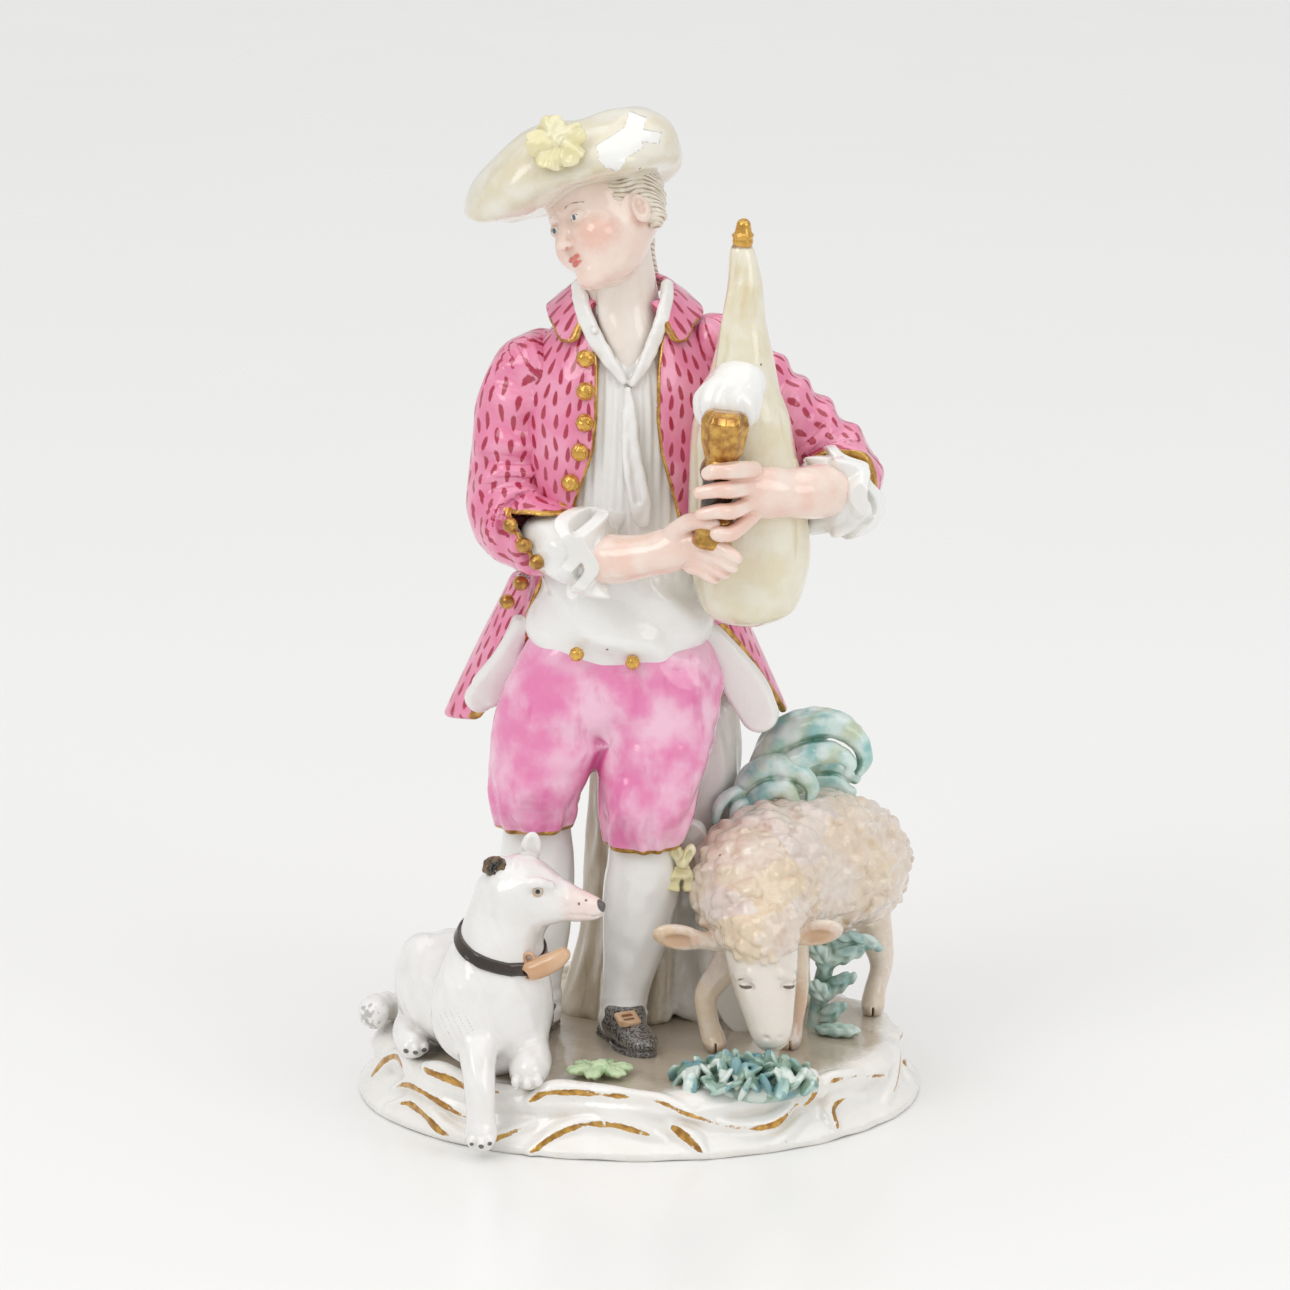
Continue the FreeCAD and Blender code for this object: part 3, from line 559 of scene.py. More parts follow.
def hat_flower(P):
    q = (P - mid("hat_flower", 0, -0.2, 1.1)) @ turn(pitch=-35, roll=-15)
    d = egg(q, (0, -0.5, 0), (1.1, 0.8, 1.1)) - 0.12 * swell(P, 0.9)
    for petal in range(5):
        angle = math.radians(90 + 72 * petal)
        out = np.array((math.cos(angle), 0, math.sin(angle)))
        across = np.array((-out[2], 0, out[0]))
        r = q - 2.4 * out + np.array((0, 0.25 * (petal % 2), 0))
        along, aside = r @ out, r @ across
        ruffled = r[:, 1] + 0.07 * along ** 2 - 0.2 * aside ** 2 + 0.2 * np.sin(2.4 * aside)
        crease = 0.15 * ridge(aside, 0.3) * np.clip(along, 0, 2)
        leaf = egg(np.stack([along, ruffled, aside], 1), (0, 0, 0), (2.1, 0.6, 2.2))
        d = join(d, leaf + crease, 0.1)
    return join(d, egg(q, (0, 0.8, 0), (3.4, 1.0, 2.8)), 0.4) + 0.08 * swell(P, 1.6)


# ---------------------------------------------------------------- shirt and jabot

TORSO = route("shirt", (0, 0.2, -24.4, 11.0, 8.0), (0, -0.4, -18.5, 13.4, 9.6), (0.4, 0.4, -9.5, 12.0, 8.8),
              (0.8, 1.4, 1.6, 11.6, 8.2), (0.8, 1.8, 12.6, 12.2, 7.8), (0.8, 2.4, 19.6, 9.8, 7.2),
              (0.8, 2.8, 24.0, 7.0, 6.4))


def shirt(P):
    u = 11 * around(P, TORSO)
    z = P[:, 2] - mid("shirt")[2]
    front = P[:, 1] < mid("shirt")[1]
    pleats = 0.10 * np.sin(3.6 * u + 0.8 * swell(P, 20)) * ramp(z + 12, 6)
    sag = 0.5 * np.sin(0.55 * z + 0.35 * u + 2.2 * swell(P, 22, 2)) * ramp(-z - 8, 5)
    d = drum(P, TORSO) + pleats * front - sag
    opening = tube(P, route("shirt", (1.0, -5.4, 28, 4.2), (1.2, -5.6, 24, 2.9), (1.4, -5.8, 21.2, 1.7),
                            (1.4, -5.4, 18.6, 0.4)))
    d = carve(d, opening, 0.5)
    right = route("shirt", (-5.9, 0.3, 31.2, 1.1), (-5.2, -2.5, 28.2, 1.25), (-3.5, -4.2, 24.6, 1.3),
                  (-1.3, -5.2, 21.2, 1.0), (0.6, -5.5, 18.6, 0.5))
    left = route("shirt", (6.9, 0.4, 31.4, 0.9), (6.5, -2.1, 28.6, 1.0), (4.9, -4.0, 24.0, 1.05),
                 (3.2, -5.1, 20.4, 0.9), (1.7, -5.4, 18.2, 0.5))
    for stations, side in ((right, -1), (left, 1)):
        band = cloth_strip(P, stations, (side * 0.55, -1, 0.1), 0.42)
        d = join(d, band + 0.08 * swell(P, 2.5, 4), 0.35)
    button = egg(P, mid("shirt", -3.6, -5.1, 26.0), (0.55, 0.5, 0.55))
    return join(d, button, 0.1)


def cloth_strip(P, stations, facing, thick):
    """A flat strip of cloth along the stations, as wide as their radii and facing one way."""
    offset, travelled, _ = follow(P, stations)
    line = smooth_line(stations)
    runs = np.concatenate([[0], np.cumsum(length(np.diff(line[:, :3], axis=0)))])
    wide = np.interp(travelled, runs, line[:, 3])
    facing = np.array(facing, float) / length(np.array(facing, float))
    out = offset @ facing
    side = offset - out[:, None] * facing
    q = np.stack([np.maximum(length(side) - wide + thick, 0), np.maximum(np.abs(out) - thick * 0.4, 0)], 1)
    return length(q) - thick


def jabot(P):
    """A frill that falls from the shirt's opening as one long, flat loop."""
    stations = route("jabot", (-1.0, 1.6, 16.2, 0.5), (-0.8, 0.8, 12.5, 1.1), (-0.5, 0.2, 7.5, 1.4),
                     (0.2, -0.2, 3.0, 1.55), (0.8, -0.2, 0.2, 1.6), (1.0, 0, -2.4, 1.2))
    d = cloth_strip(P, stations, (0.1, -1, 0), 0.6)
    groove = tube(P, route("jabot", (-0.8, -0.4, 11.5, 0.2), (-0.4, -0.9, 6.5, 0.35), (0.5, -1.2, 0.5, 0.45)))
    return carve(d, groove, 0.5) + 0.08 * swell(P, 2.6)


# ---------------------------------------------------------------- coat

COAT = route("coat_body", (0, -0.1, -23.0, 15.4, 10.4), (0, -0.4, -12, 13.8, 10.2), (0, -0.6, 2, 15.0, 10.6),
             (0, -0.2, 12, 15.4, 10.0), (0, 0.4, 18.6, 12.4, 8.6), (0, 0.8, 23, 7.6, 6.8))
CLOTH = 1.5      # how thick the coat stands off the shirt
LINED = 1.05     # how deep in the coat's thickness the lining starts


def front_edges(z):
    """The x of the coat's right and left front edges at heights counted from the coat's centre."""
    heights = [-24, -16, -9, 0, 4.5, 9, 16, 20, 24]
    right = [-17.0, -14.0, -10.8, -7.9, -6.4, -5.9, -5.8, -6.2, -7.6]
    left = [13.8, 9.0, 6.4, 4.2, 3.0, 2.5, 2.6, 3.1, 3.8]
    return np.interp(z, heights, right), np.interp(z, heights, left)


def coat_place(P):
    """x and z counted from the middle between the coat's front edges."""
    centre = mid("coat_body", 2.0, 0, 0)
    return P[:, 0] - centre[0], P[:, 2] - centre[2]


def coat_body(P):
    x, z = coat_place(P)
    right, left = front_edges(z)
    folds = 0.25 * np.sin(0.5 * P[:, 0] + 0.42 * z + swell(P, 16, 1)) * ramp(6 - np.abs(z + 4), 5)
    outer = drum(P, COAT) + folds + 0.1 * swell(P, 7)
    inner = drum(P, [*shrunk(COAT[:1], CLOTH, 4), *shrunk(COAT[1:], CLOTH, 1.6)])
    between_edges = np.maximum(right - x, x - left)
    opening = both(between_edges, P[:, 1] - mid("coat_body")[1] + 4, 0.5)
    d = carve(outer, inner, 0.5)
    d = carve(d, opening, 0.7)
    return with_domes(d, P, "coat_body", SKIRT_BUTTONS)


def coat_marks(V, N):
    x, z = coat_place(V)
    right, left = front_edges(z)
    edge = np.minimum(np.abs(x - right + 0.1), np.abs(x - left - 0.1)) - 0.45
    gilt = edge + only_where(V[:, 1] < mid("coat_body")[1] - 2)
    return {"gilt": gilded_domes(gilt, V, "coat_body", SKIRT_BUTTONS),
            "cloth": cloth_place(13 * around(V, COAT), z),
            "lining": drum(V, shrunk(COAT, LINED, 1.6))}


def with_domes(d, P, node, places):
    """The surface with small round buttons set on it."""
    for place in places:
        d = join(d, egg(P, mid(node, *place), (DOME, DOME, DOME)), 0.1)
    return d


def gilded_domes(gilt, V, node, places):
    """The gilding with the small round buttons added."""
    for place in places:
        gilt = np.minimum(gilt, length(V - mid(node, *place)) - DOME - 0.25)
    return gilt


def buttons_on(node, places, size):
    """Separate round buttons, each a dome in a rim."""
    def shape(P):
        d = np.full(len(P), FAR)
        for place in places:
            centre = mid(node, *place)
            dome = egg(P, centre, (size, size * 0.8, size))
            rim = hoop(P, centre + np.array((0, 0.25, 0)), (0, 1, 0), size * 0.92, 0.22)
            d = np.minimum(d, join(dome, rim, 0.15))
        return d + 0.05 * swell(P, 0.7)
    return shape


COAT_BUTTONS = [(1.9, 2.2, 13.4), (1.9, 0.8, 8.9), (1.8, 0.3, 4.4), (1.1, 0.2, 0.1), (-0.3, 0.6, -4.5),
                (-1.6, 1.7, -8.9)]      # from the collar down
SKIRT_BUTTONS = [(-15.2, -4.6, -16.4), (-17.2, -3.8, -19.4)]
BREECHES_BUTTONS = [(-4.05, -0.9, 0.6), (4.05, -1.1, -0.6)]
DOME = 1.15      # radius of the small buttons on the skirt and the cuff


def collar_ring(P):
    """Height, angle from the front and distance from the collar's middle surface, which flares downwards."""
    q = (P - mid("coat_collar", 0.2, -0.4, 2.2)) @ turn(pitch=14)
    angle = np.arctan2(q[:, 0], -q[:, 1])
    return q[:, 2], angle, (length(q[:, :2] * (0.94, 1.08)) - 8.2 + q[:, 2]) / 1.4


def collar_corner(angle):
    """How much further the collar's two front corners reach down."""
    return 1.2 * ridge(np.abs(angle) - 0.84, 0.24)


def coat_collar(P):
    height, angle, out = collar_ring(P)
    rim = np.maximum(height - 1.9, -2.1 - collar_corner(angle) - height)
    gap = (0.68 - np.abs(angle)) * 8
    d = both(np.abs(out) - 0.5, both(rim, gap, 0.5), 0.6)
    return d + 0.08 * swell(P, 4, 1)


def collar_marks(V, N):
    height, angle, _ = collar_ring(V)
    edge = np.minimum(np.abs(height + 2.0 + collar_corner(angle)), np.abs((0.72 - np.abs(angle)) * 8))
    front = only_where((np.abs(angle) < 1.3) & (height < 0.6))
    return {"gilt": edge - 0.45 + front, "lining": np.full(len(V), FAR),
            "cloth": cloth_place(9 * angle, height)}


SKIRT_CLOTH = 1.3      # how thick the skirts are
SKIRT_LINED = 0.7      # how deep in that thickness the lining starts


def skirt_panel(side):
    """The place where a skirt starts and its rings; side is 1 for the left skirt, -1 for the right."""
    node = "coat_skirt_left" if side > 0 else "coat_skirt_right"
    x, y, z = mid(node) - half(node) * (side, 0, 0)
    rings = [(x + side * 1.0, y - 4.8, z + 12, 14.6, 7.8), (x + side * 1.2, y - 2.2, z + 2, 18.8, 12.2),
             (x + side * 1.0, y - 0.6, z - 11, 24.6, 12.6)]
    return (x, y, z), rings


def skirt_front(side, z):
    """The y of the skirt's front edge, which falls back towards the hem."""
    node, start, slope = ("coat_skirt_left", -6.8, 0.55) if side > 0 else ("coat_skirt_right", -9.2, 0.3)
    return mid(node)[1] + np.maximum(start - slope * (z - mid(node)[2]), -11.6)


def turned_lining(P, side):
    """The tongue of white lining that each skirt turns out beside the hip."""
    if side > 0:
        stations = route("coat_skirt_left", (-0.7, -11.4, 7.0, 1.2), (2.9, -10.8, 1.8, 2.2),
                         (6.4, -9.9, -4.1, 3.2), (8.4, -9.2, -8.2, 2.9))
    else:
        stations = route("coat_skirt_right", (-1.6, -9.6, 5.5, 1.0), (-3.6, -9.0, 0.0, 2.0),
                         (-6.0, -8.0, -4.6, 2.8), (-7.6, -7.4, -6.4, 2.2))
    return cloth_strip(P, stations, (-0.3 * side, -1, 0.1), 0.8)


def skirt_wave(P, hinge, rings):
    """The soft flutes that deepen towards the skirt's hem."""
    return 0.9 * np.sin(5 * around(P, rings) + 1.2) * ramp(hinge[2] + 8 - P[:, 2], 16)


def skirt(side):
    hinge, rings = skirt_panel(side)
    thin = np.array(shrunk(rings, SKIRT_CLOTH))
    above, below = 0.4 * (thin[0] - thin[1]), 0.3 * (thin[-1] - thin[-2])
    hollow = [thin[0] + above, *thin, thin[-1] + below]

    def shape(P):
        wave = skirt_wave(P, hinge, rings)
        d = carve(drum(P, rings) + wave, drum(P, hollow) + wave, 0.5)
        d = both(d, -side * (P[:, 0] - hinge[0]) + 0.2, 0.3)
        d = both(d, skirt_front(side, P[:, 2]) - P[:, 1], 0.7)
        return join(d, turned_lining(P, side), 0.4)
    return shape


def skirt_marks(side):
    hinge, rings = skirt_panel(side)
    edge_width = 0.5 if side > 0 else 0.34

    def marks(V, N):
        tongue = turned_lining(V, side) - 0.25
        inside = drum(V, shrunk(rings, SKIRT_LINED)) + skirt_wave(V, hinge, rings)
        edge = np.abs(V[:, 1] - skirt_front(side, V[:, 2]) - 0.2) - edge_width
        return {"gilt": np.maximum(edge, -tongue), "lining": np.minimum(inside, tongue),
                "cloth": cloth_place(20 * around(V, rings), V[:, 2])}
    return marks


# ---------------------------------------------------------------- sleeves, ruffles and hands

ARM_RIGHT = route("sleeve_right", (5.4, 4.4, 13.0, 4.0), (1.8, 4.2, 11.8, 5.0), (-0.6, 3.6, 6.6, 5.4),
                  (-1.6, 2.8, -3.0, 5.4), (-1.2, 0.0, -9.0, 5.8), (1.6, -2.6, -10.8, 5.6),
                  (5.2, -5.0, -10.8, 5.0))
ARM_LEFT = route("sleeve_left", (-11.0, 0.9, 10.8, 4.4), (-5.0, 1.7, 4.6, 5.2), (3.0, 1.4, -3.4, 5.3),
                 (6.8, -1.4, -7.6, 5.6), (6.8, -5.4, -8.8, 5.2))
CUFF_CORNER = mid("sleeve_right", -1.1, 0, -7.2)     # where the right cuff's slit starts
SLIT_X, SLIT_Z = 0.863, 0.505                        # the direction that the slit faces
CUFF_BUTTONS = {"sleeve_right": [(-1.2, -8.2, -8.4), (0.9, -9.0, -11.2), (2.6, -9.4, -13.6)],
                "sleeve_left": []}


def cuff_distance(P, node):
    """How far a point lies beyond the sleeve's open end: the right cuff is slit, the left one level."""
    if node == "sleeve_left":
        return (P - mid(node, 6.8, -6.2, -8.8)) @ np.array((-0.1, -0.99, -0.1))
    q = P - CUFF_CORNER
    below, beside = -q[:, 2], q[:, 0] * SLIT_X + q[:, 2] * SLIT_Z
    return np.minimum(np.minimum(below, beside), mid(node)[1] - P[:, 1])


def sleeve(node, arm, fold_seed):
    hollow = [(x, y, z, r - 1.1) for x, y, z, r in arm[-3:]]

    def shape(P):
        offset, travelled, _ = follow(P, arm, 6)
        creases = np.sin(1.15 * travelled + 0.5 * offset[:, 0] + 1.6 * swell(P, 13, fold_seed))
        inner = np.clip(0.6 - 0.25 * offset[:, 1] + 0.2 * offset[:, 0], 0, 1)
        d = tube(P, arm, 6, 0.8) + 0.42 * creases * inner + 0.2 * swell(P, 6, fold_seed + 1)
        beyond = cuff_distance(P, node)
        d = carve(d, both(tube(P, hollow, 4), -beyond - 5, 0.3), 0.3)
        d = both(d, beyond, 0.35)
        return with_domes(d, P, node, CUFF_BUTTONS[node])
    return shape


def sleeve_marks(node, arm):
    def marks(V, N):
        offset, travelled, heading = follow(V, arm, 6)
        upright = np.abs(heading[:, 2])
        angle = np.arctan2(offset[:, 1], offset[:, 0] * upright + offset[:, 2] * (1 - upright))
        whole = travelled.max()
        inside = np.where(travelled > 0.72 * whole, length(offset) - 4.6, FAR)
        gilt = np.abs(cuff_distance(V, node) + 0.3) - 0.42 + only_where(travelled > 0.6 * whole)
        return {"gilt": gilded_domes(gilt, V, node, CUFF_BUTTONS[node]), "lining": inside,
                "cloth": cloth_place(5.2 * angle, travelled)}
    return marks


def shirt_sleeve(P):
    arm = route("shirt_sleeve_right", (-3.0, 3.8, 0.8, 3.7), (-0.6, 1.9, 0.2, 4.3), (1.8, -0.2, -0.2, 4.3),
                (3.6, -1.8, -0.4, 3.6))
    offset, travelled, _ = follow(P, arm)
    gathers = np.sin(6 * np.arctan2(offset[:, 1], offset[:, 2]) + 0.8 * swell(P, 8))
    return tube(P, arm, 5, 1) + 0.28 * gathers * ramp(travelled, 4) + 0.2 * swell(P, 4, 2)


def ruffle(node, place, axis, sizes, folds, seed):
    """A frill of two crumpled layers around a wrist; sizes are the inner and outer radius of its rim."""
    axis = np.array(axis, float) / length(np.array(axis, float))
    across = np.cross(axis, (0, 0, 1.0))
    across /= length(across)
    above = np.cross(across, axis)
    centre = mid(node, *place)
    inner, outer = sizes

    def shape(P):
        q = P - centre
        a, u, v = q @ axis, q @ across, q @ above
        reach, angle = np.sqrt(u ** 2 + v ** 2), np.arctan2(v, u)
        total = FAR
        for layer, (shift, count, phase) in enumerate(((-1.4, folds, 0.4), (1.0, folds + 1, 1.9))):
            bend = 0.8 * np.sin(angle * 2 + seed + layer)
            growth = np.clip((reach - inner) / (outer - inner), 0, 1.2)
            wave = 1.35 * growth * np.sin(count * angle + phase + bend)
            edge = outer + 0.8 * np.sin(2 * angle + phase) + 0.25 * np.sin(count * angle + seed)
            leaf = np.abs(a - shift - wave) * 0.66 - 0.8
            d = both(leaf, both(reach - edge, inner - 1.4 - reach, 0.3), 0.4)
            total = join(total, d, 0.3)
        core = both(reach - inner - 0.6, np.abs(a) - 2.6, 0.8)
        return join(total, core, 0.8)
    return shape


def hand(P, arm, palm, fingers, web):
    """A forearm, a palm and fingers, web being the fillet between them; all counted from the pipe's stock."""
    d = join(tube(P, route("pipe_stock", *arm), 5, 1), palm, 1.6)
    for stations in fingers:
        d = join(d, tube(P, route("pipe_stock", *stations), 6, 0.2), web)
    return d


def hand_right(P):
    arm = [(-18.9, 8.2, -13.2, 3.5), (-14.2, 5.2, -12.9, 3.1), (-9.4, 3.6, -11.8, 2.6),
           (-7.2, 2.9, -11.2, 2.5)]
    palm = egg(P, mid("pipe_stock", -5.6, 2.4, -10.4), (4.6, 2.2, 2.9), turn(yaw=-26, roll=-12))
    fingers = [
        [(-6.6, 2.2, -8.6, 1.5), (-4.2, 0.6, -6.4, 1.3), (-2.2, -1.6, -5.6, 1.15), (-0.7, -2.9, -5.7, 0.9)],
        [(-3.4, 1.2, -9.2, 1.25), (-0.8, -1.4, -9.0, 1.15), (1.2, -2.9, -9.8, 1.0), (2.6, -3.6, -10.6, 0.8)],
        [(-3.2, 1.2, -10.6, 1.2), (-0.9, -1.3, -10.6, 1.1), (0.9, -2.7, -11.4, 0.95),
         (2.0, -3.2, -12.0, 0.8)],
        [(-3.4, 1.4, -11.9, 1.15), (-1.4, -0.8, -12.0, 1.05), (0.0, -2.0, -12.7, 0.9),
         (0.9, -2.4, -13.2, 0.75)],
        [(-4.0, 1.6, -13.0, 1.05), (-2.4, -0.1, -13.2, 0.95), (-1.2, -1.2, -13.8, 0.8),
         (-0.5, -1.5, -14.2, 0.65)],
    ]
    return hand(P, arm, palm, fingers, 0.4)


LEFT_FINGERS = [(1.2, -1.6, 0.9), (-1.1, -2.8, 0.4), (-3.3, -2.6, -0.5), (-5.3, 0.4, -1.7)]   # z, tip x, lift


def hand_left(P):
    arm = [(15.7, 10.3, -4.0, 3.7), (12.3, 6.3, -3.4, 3.3), (9.4, 4.6, -3.0, 2.8), (7.9, 3.9, -2.8, 2.7)]
    palm = egg(P, mid("pipe_stock", 6.6, 2.2, -2.4), (4.6, 2.4, 3.7), turn(yaw=34, roll=6))
    fingers = []
    for row, (z, tip, lift) in enumerate(LEFT_FINGERS):
        slimmer = 1 - 0.05 * row
        fingers.append([(4.9, 0.9, z, 1.35 * slimmer), (1.9, -2.9, z + lift, 1.3 * slimmer),
                        (-0.2, -4.0, z + lift + 0.2, 1.15 * slimmer),
                        (tip, -3.7, z + lift - 0.3, 0.95 * slimmer)])
    return hand(P, arm, palm, fingers, 0.35)


def hand_marks(V, N):
    return {"blush": swell(V, 6, 1) + 0.2}


# ---------------------------------------------------------------- bagpipes

BAG = route("bagpipe_bag", (0.2, 0.6, -28.6, 3.4, 3.0), (0.3, 0.3, -25.8, 6.8, 5.6),
            (0.4, 0.2, -19.6, 8.5, 6.9), (0.1, 0.1, -13, 8.5, 6.9), (-0.8, 0.2, 0.2, 7.3, 6.3),
            (-0.7, 0.5, 10, 4.4, 4.1), (-0.6, 0.9, 19, 2.9, 2.8), (-0.7, 1.3, 24, 2.2, 2.1),
            (-0.9, 1.6, 28.2, 1.6, 1.5))


def bag(P):
    angle = around(P, BAG)
    z = P[:, 2] - mid("bagpipe_bag")[2]
    seam = ridge(angle + 0.95, 0.14) * ramp(z + 22, 6) * ramp(24 - z, 6)
    creases = np.sin(5 * angle + 0.12 * z + swell(P, 18, 1)) * ramp(10 - np.abs(z - 4), 8)
    return drum(P, BAG, 2.5) - 0.55 * seam + 0.16 * creases + 0.15 * swell(P, 7, 3)


def bag_marks(V, N):
    angle = around(V, BAG)
    z = V[:, 2] - mid("bagpipe_bag")[2]
    return {"seam": np.abs(angle + 1.15) * 5 - 0.35 - 0.2 * swell(V, 3), "tip": 26.8 - z}


def bag_socket(P):
    centre = mid("bag_socket", 0, 0.4, 0)
    q = P - centre
    angle = np.arctan2(q[:, 0], -q[:, 1])
    pleats = np.abs(np.sin(5.5 * angle + 0.3 * q[:, 2])) * ramp(3.5 - q[:, 2], 6)
    d = egg(P, centre, (4.7, 3.9, 4.4)) - 0.45 * pleats + 0.12 * swell(P, 3)
    return join(d, egg(P, mid("bag_socket", 1.6, 2.4, 2.6), (4.0, 3.4, 3.4)), 2)


STOCK_LOW, STOCK_HIGH = mid("pipe_stock", -1.0, -0.4, -9.8), mid("pipe_stock", 1.1, 0.6, 9.8)
STOCK_AXIS = (STOCK_HIGH - STOCK_LOW) / length(STOCK_HIGH - STOCK_LOW)
STOCK_PROFILE = [(-0.4, 2.2), (0.6, 2.9), (2.2, 2.7), (4.0, 2.9), (4.8, 2.4), (5.4, 2.2), (9.6, 2.3),
                 (10.2, 2.7), (11.0, 2.9), (12.0, 2.7), (12.8, 2.3), (13.6, 2.7), (15.4, 3.3), (18.2, 3.6),
                 (19.2, 3.2), (20.0, 2.4)]      # height along the axis and radius


def stock(P):
    up = (P - STOCK_LOW) @ STOCK_AXIS
    side = P - STOCK_LOW - up[:, None] * STOCK_AXIS
    angle = np.arctan2(side[:, 0], -side[:, 1])
    radius = np.interp(up, *np.array(STOCK_PROFILE).T)
    ribs = 0.28 * np.abs(np.sin(5 * angle)) * ramp(up - 13, 1.5)
    d = (length(side) - radius + ribs) * 0.9
    return both(d, np.maximum(up - 19.9, -0.1 - up), 0.5)


def stock_marks(V, N):
    up = (V - STOCK_LOW) @ STOCK_AXIS
    band = np.minimum(np.abs(up - 8.2) - 1.9, np.abs(up - 1.2) - 0.5)
    return {"gilt": np.minimum(12.2 - up, up - 4.6) + 0.5 * swell(V, 1.6), "band": band}


def finial(P):
    d = limb(P, mid("pipe_finial", 0, 0, -1.8), mid("pipe_finial", 0.1, 0, 0.4), 1.5, 1.05)
    rim = hoop(P, mid("pipe_finial", 0, 0, -1.0), (0, 0, 1), 1.3, 0.3)
    return carve(join(d, rim, 0.2), egg(P, mid("pipe_finial", 0.1, -0.3, 1.5), (0.5, 0.5, 0.5)), 0.2)


# ---------------------------------------------------------------- breeches, stockings and shoes

HIPS = mid("breeches", 1.9, 1.4, 9.0)
THIGHS = {-1: route("breeches", (-4.0, 1.2, 11.0, 8.4), (-7.8, 0.0, 2.0, 7.8), (-10.4, -0.8, -7.0, 6.5),
                    (-10.5, -0.6, -11.4, 4.9), (-10.5, -0.2, -14.6, 3.7)),
          1: route("breeches", (7.6, 0.8, 11.0, 8.5), (7.4, -1.4, 2.0, 8.0), (6.3, -3.6, -7.4, 6.9),
                   (5.5, -3.8, -12.6, 5.2), (5.1, -3.6, -16.2, 3.9))}
HEMS = {-1: -12.9, 1: -14.8}     # how far below the breeches' centre each leg ends


def hem_of(P):
    """The height of the hem of the leg that each point belongs to, from the breeches' centre."""
    return np.where(P[:, 0] < mid("breeches")[0] - 1.5, HEMS[-1], HEMS[1])


def breeches(P):
    z = P[:, 2] - mid("breeches")[2]
    d = egg(P, HIPS, (15.2, 9.8, 9.4))
    for side in (-1, 1):
        offset, travelled, _ = follow(P, THIGHS[side], 6)
        knee = ramp(travelled - 16, 6)
        angle = np.arctan2(offset[:, 0], -offset[:, 1])
        gathers = 0.3 * np.sin(9 * angle + 2 * swell(P, 9, 2)) * knee
        drape = 0.5 * np.sin(2.4 * angle + 0.22 * travelled + swell(P, 17, side + 2)) * (1 - knee)
        d = join(d, tube(P, THIGHS[side], 6, 1) + gathers + drape, 1.4)
    q = P - mid("breeches", 0.6, -9.6, 1.0)
    fan, reach = np.arctan2(q[:, 0], q[:, 2]), length(q)
    ray = ridge(reach - 7, 3.4) * (q[:, 1] < 8)
    d = d + 0.32 * np.sin(5 * fan + 0.7 + 0.2 * reach) * ray
    return both(d + 0.12 * swell(P, 5, 4), hem_of(P) - z, 0.5)


def breeches_marks(V, N):
    return {"gilt": V[:, 2] - mid("breeches")[2] - hem_of(V) - 0.8}


STOCKINGS = {"stocking_right": route("stocking_right", (0.1, 0.4, 13.8, 4.4), (0.0, 0.4, 8.4, 4.9),
                                     (0.1, 1.0, 2.6, 4.9), (0.2, 1.2, -4.6, 4.0), (0.1, 1.1, -10, 3.1),
                                     (0.1, 0.7, -14, 2.9), (0, 0.2, -16, 3.1)),
             "stocking_left": route("stocking_left", (0.3, 0.4, 12.6, 4.5), (0.2, 0.2, 9.0, 4.9),
                                    (-0.3, 1.0, 3.6, 5.1), (-1.4, 1.0, -4.0, 4.0), (-2.4, 0.5, -9.6, 3.1),
                                    (-2.9, -0.1, -13.0, 2.9), (-2.8, -0.8, -15.4, 3.2))}


def stocking(node):
    def shape(P):
        offset, travelled, _ = follow(P, STOCKINGS[node], 6)
        shin = 0.35 * ramp(-offset[:, 1], 4) * ramp(12 - np.abs(travelled - 14), 12)
        ankle = ramp(travelled - 24, 4)
        wrinkles = 0.14 * np.sin(2.6 * travelled + offset[:, 0]) * ankle
        return tube(P, STOCKINGS[node], 6, 1) - shin + wrinkles + 0.06 * swell(P, 4)
    return shape


def garter_bow(P):
    at = "garter_bow"
    d = egg(P, mid(at, 0, -0.2, 0.9), (0.9, 0.9, 0.9))
    for x, z, tilt in ((-0.9, 2.6, 20), (0.9, 2.3, -24)):
        loop = egg(P, mid(at, x, 0, z), (0.95, 0.85, 1.6), turn(roll=-tilt))
        d = join(d, carve(loop, egg(P, mid(at, x, -0.9, z), (0.4, 0.5, 0.9), turn(roll=-tilt)), 0.2), 0.3)
    for x, tilt in ((-0.9, 14), (0.8, -10)):
        tail = slab(P, mid(at, x, 0.1, -1.5), (0.85, 0.5, 1.9), turn(roll=tilt), 0.35)
        d = join(d, tail + 0.2 * np.sin(3 * P[:, 2]), 0.3)
    return d + 0.08 * swell(P, 1.3)


SHOES = {"shoe_left": turn(yaw=28), "shoe_right": turn(yaw=-18)}


